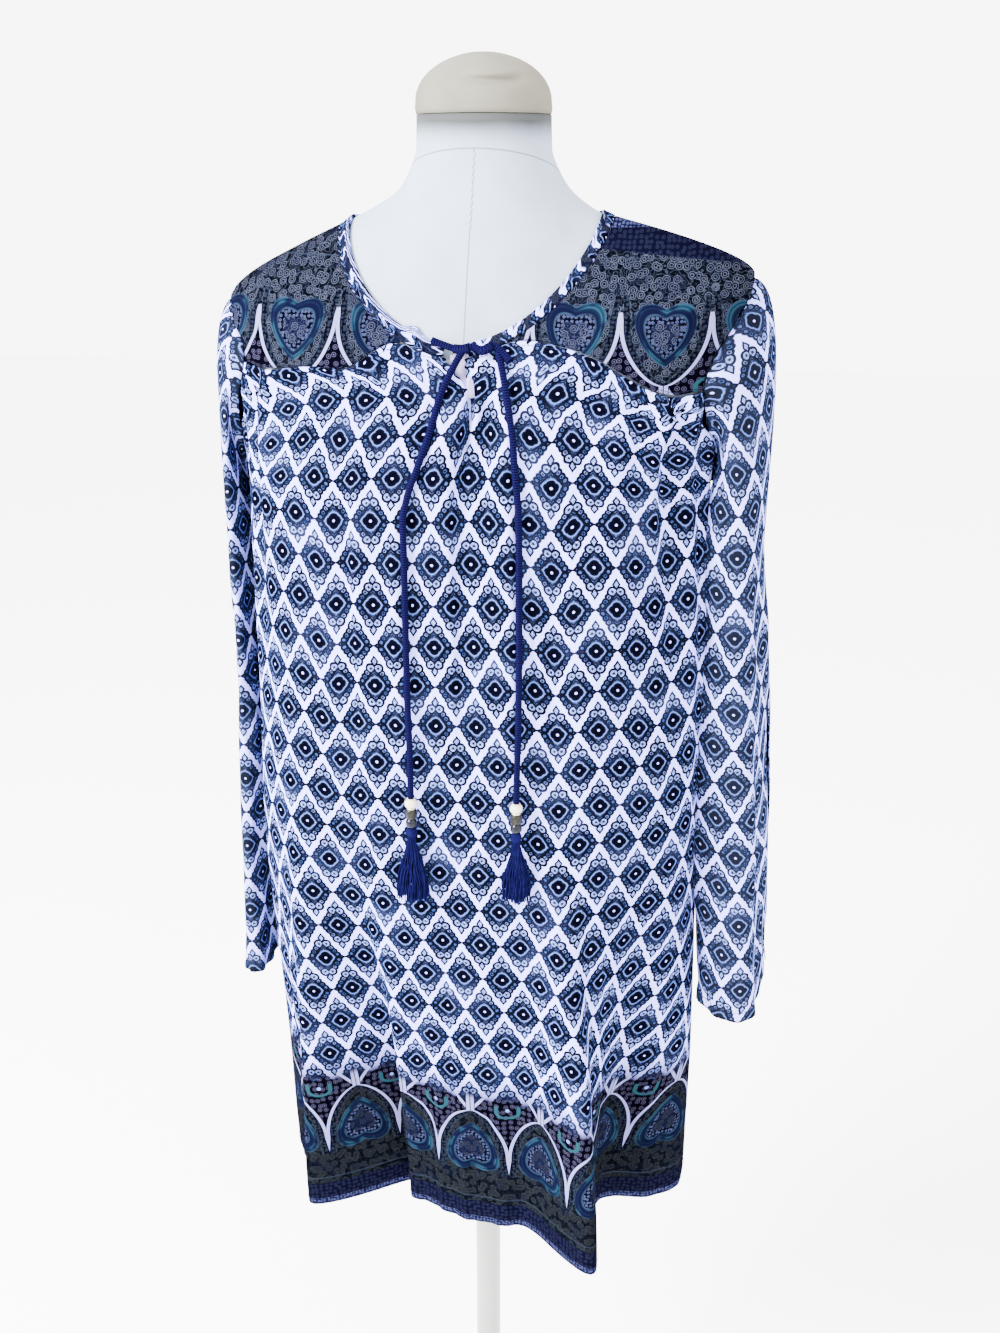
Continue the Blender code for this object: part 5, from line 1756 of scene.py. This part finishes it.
@dataclass
class Studio:
    """Camera, light and the plain white ground."""

    heading: float = math.radians(8.5)
    pitch: float = math.radians(20.5)
    away: float = 1.10
    aside: float = 0.012
    above: float = 0.0377
    lens: float = 1345.0 * 36.0 / 1333.0
    daylight: float = 7.8
    floor_half: float = 9.0

    def add_camera(self) -> None:
        """Place the camera in front of the shoulders, looking down a little."""
        camera = bpy.data.cameras.new("camera")
        camera.lens = self.lens
        camera.clip_start, camera.clip_end = 0.05, 30.0
        thing = link_new("camera", camera)
        ahead = Vector((-math.sin(self.heading), math.cos(self.heading), 0.0))
        right = Vector((math.cos(self.heading), math.sin(self.heading), 0.0))
        thing.location = -self.away * ahead + self.aside * right + Vector((0.0, 0.0, SHOULDER_Z + self.above))
        thing.rotation_euler = (math.radians(90.0) - self.pitch, 0.0, self.heading)
        bpy.context.scene.camera = thing

    def add_light(self, lamp: Lamp) -> None:
        """Add one soft light aimed at the chest.

        Args:
            lamp: its settings.
        """
        light = bpy.data.lights.new(lamp.name, "AREA")
        light.energy, light.size = lamp.power, lamp.size
        thing = link_new(lamp.name, light)
        thing.location = lamp.spot
        ahead = Vector((0.0, 0.0, 1.05)) - Vector(lamp.spot)
        thing.rotation_euler = ahead.to_track_quat("-Z", "Y").to_euler()

    def add_ground(self) -> None:
        """Lay the white floor and light the world evenly."""
        world = bpy.data.worlds.new("soft white")
        bpy.context.scene.world = world
        world.use_nodes = True
        background = world.node_tree.nodes["Background"]
        background.inputs[0].default_value = (1.0, 1.0, 1.0, 1.0)
        background.inputs[1].default_value = self.daylight
        mesh = bpy.data.meshes.new("floor")
        corners = [(x * self.floor_half, y * self.floor_half, -0.0005)
                   for x, y in ((-1, -1), (1, -1), (1, 1), (-1, 1))]
        mesh.from_pydata(corners, [], [(0, 1, 2, 3)])
        floor = link_new("floor", mesh)
        mesh.materials.append(PlainFinish("white floor", "stand", (0.92, 0.92, 0.92), 0.9, stain=0.0).build())

    def build(self) -> None:
        """Add everything but the camera."""
        for lamp in LAMPS:
            self.add_light(lamp)
        self.add_ground()


def main() -> None:
    """Build the scene."""
    studio = Studio()
    studio.add_camera()
    made = {name: finish.build() for name, finish in FINISHES.items()}
    threads, stitches = NodeRun("threads", False), NodeRun("stitch row", True)
    tie = Tie(made, threads)
    tie.make_knot()
    for side in Side:
        tie.make_tail(side)
    torso = FormTorso().make(made["form"])
    carry([torso], "form_torso", "form_cloth")
    carry([NeckCover().make(made["cover"])], "form_neck_cover", "form_cover")
    trim = Trim(stitches, made)
    sleeves = {side: Sleeve(side) for side in Side}
    cloth = {
        "front_body": (FrontBody().make(made["body"]), "print", [trim.hem(True), trim.casing()]),
        "back_body": (BackBody().make(made["body"]), "print", [trim.hem(False)]),
        "front_yoke_left": (Yoke("front_yoke_cloth_left", Side.LEFT, shift=-0.016).make(made["yoke"]),
                            "dark_print", [trim.yoke(Side.LEFT)]),
        "front_yoke_right": (Yoke("front_yoke_cloth_right", Side.RIGHT).make(made["yoke"]), "dark_print",
                             [trim.yoke(Side.RIGHT)]),
        "back_yoke": (Yoke("back_yoke_cloth", None).make(made["yoke"]), "dark_print", []),
        "sleeve_left": (sleeves[Side.LEFT].make(made["sleeve"]), "print", [trim.cuff(sleeves[Side.LEFT])]),
        "sleeve_right": (sleeves[Side.RIGHT].make(made["sleeve"]), "print", [trim.cuff(sleeves[Side.RIGHT])]),
        "neck_binding": (NeckBinding().make(made["binding"]), "print", [trim.binding()]),
        "slit_facing": (SlitFacing().make(made["facing"]), "facing", []),
    }
    for node, (thing, slot, trims) in cloth.items():
        carry([thing], node, slot)
        declare_sheet(thing, node, trims)
    trim.form()
    for node in ("form_pole", "form_base"):
        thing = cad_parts[node]
        thing.data.materials.clear()
        thing.data.materials.append(made["stand"])
    studio.build()


if __name__ == "__main__":
    main()
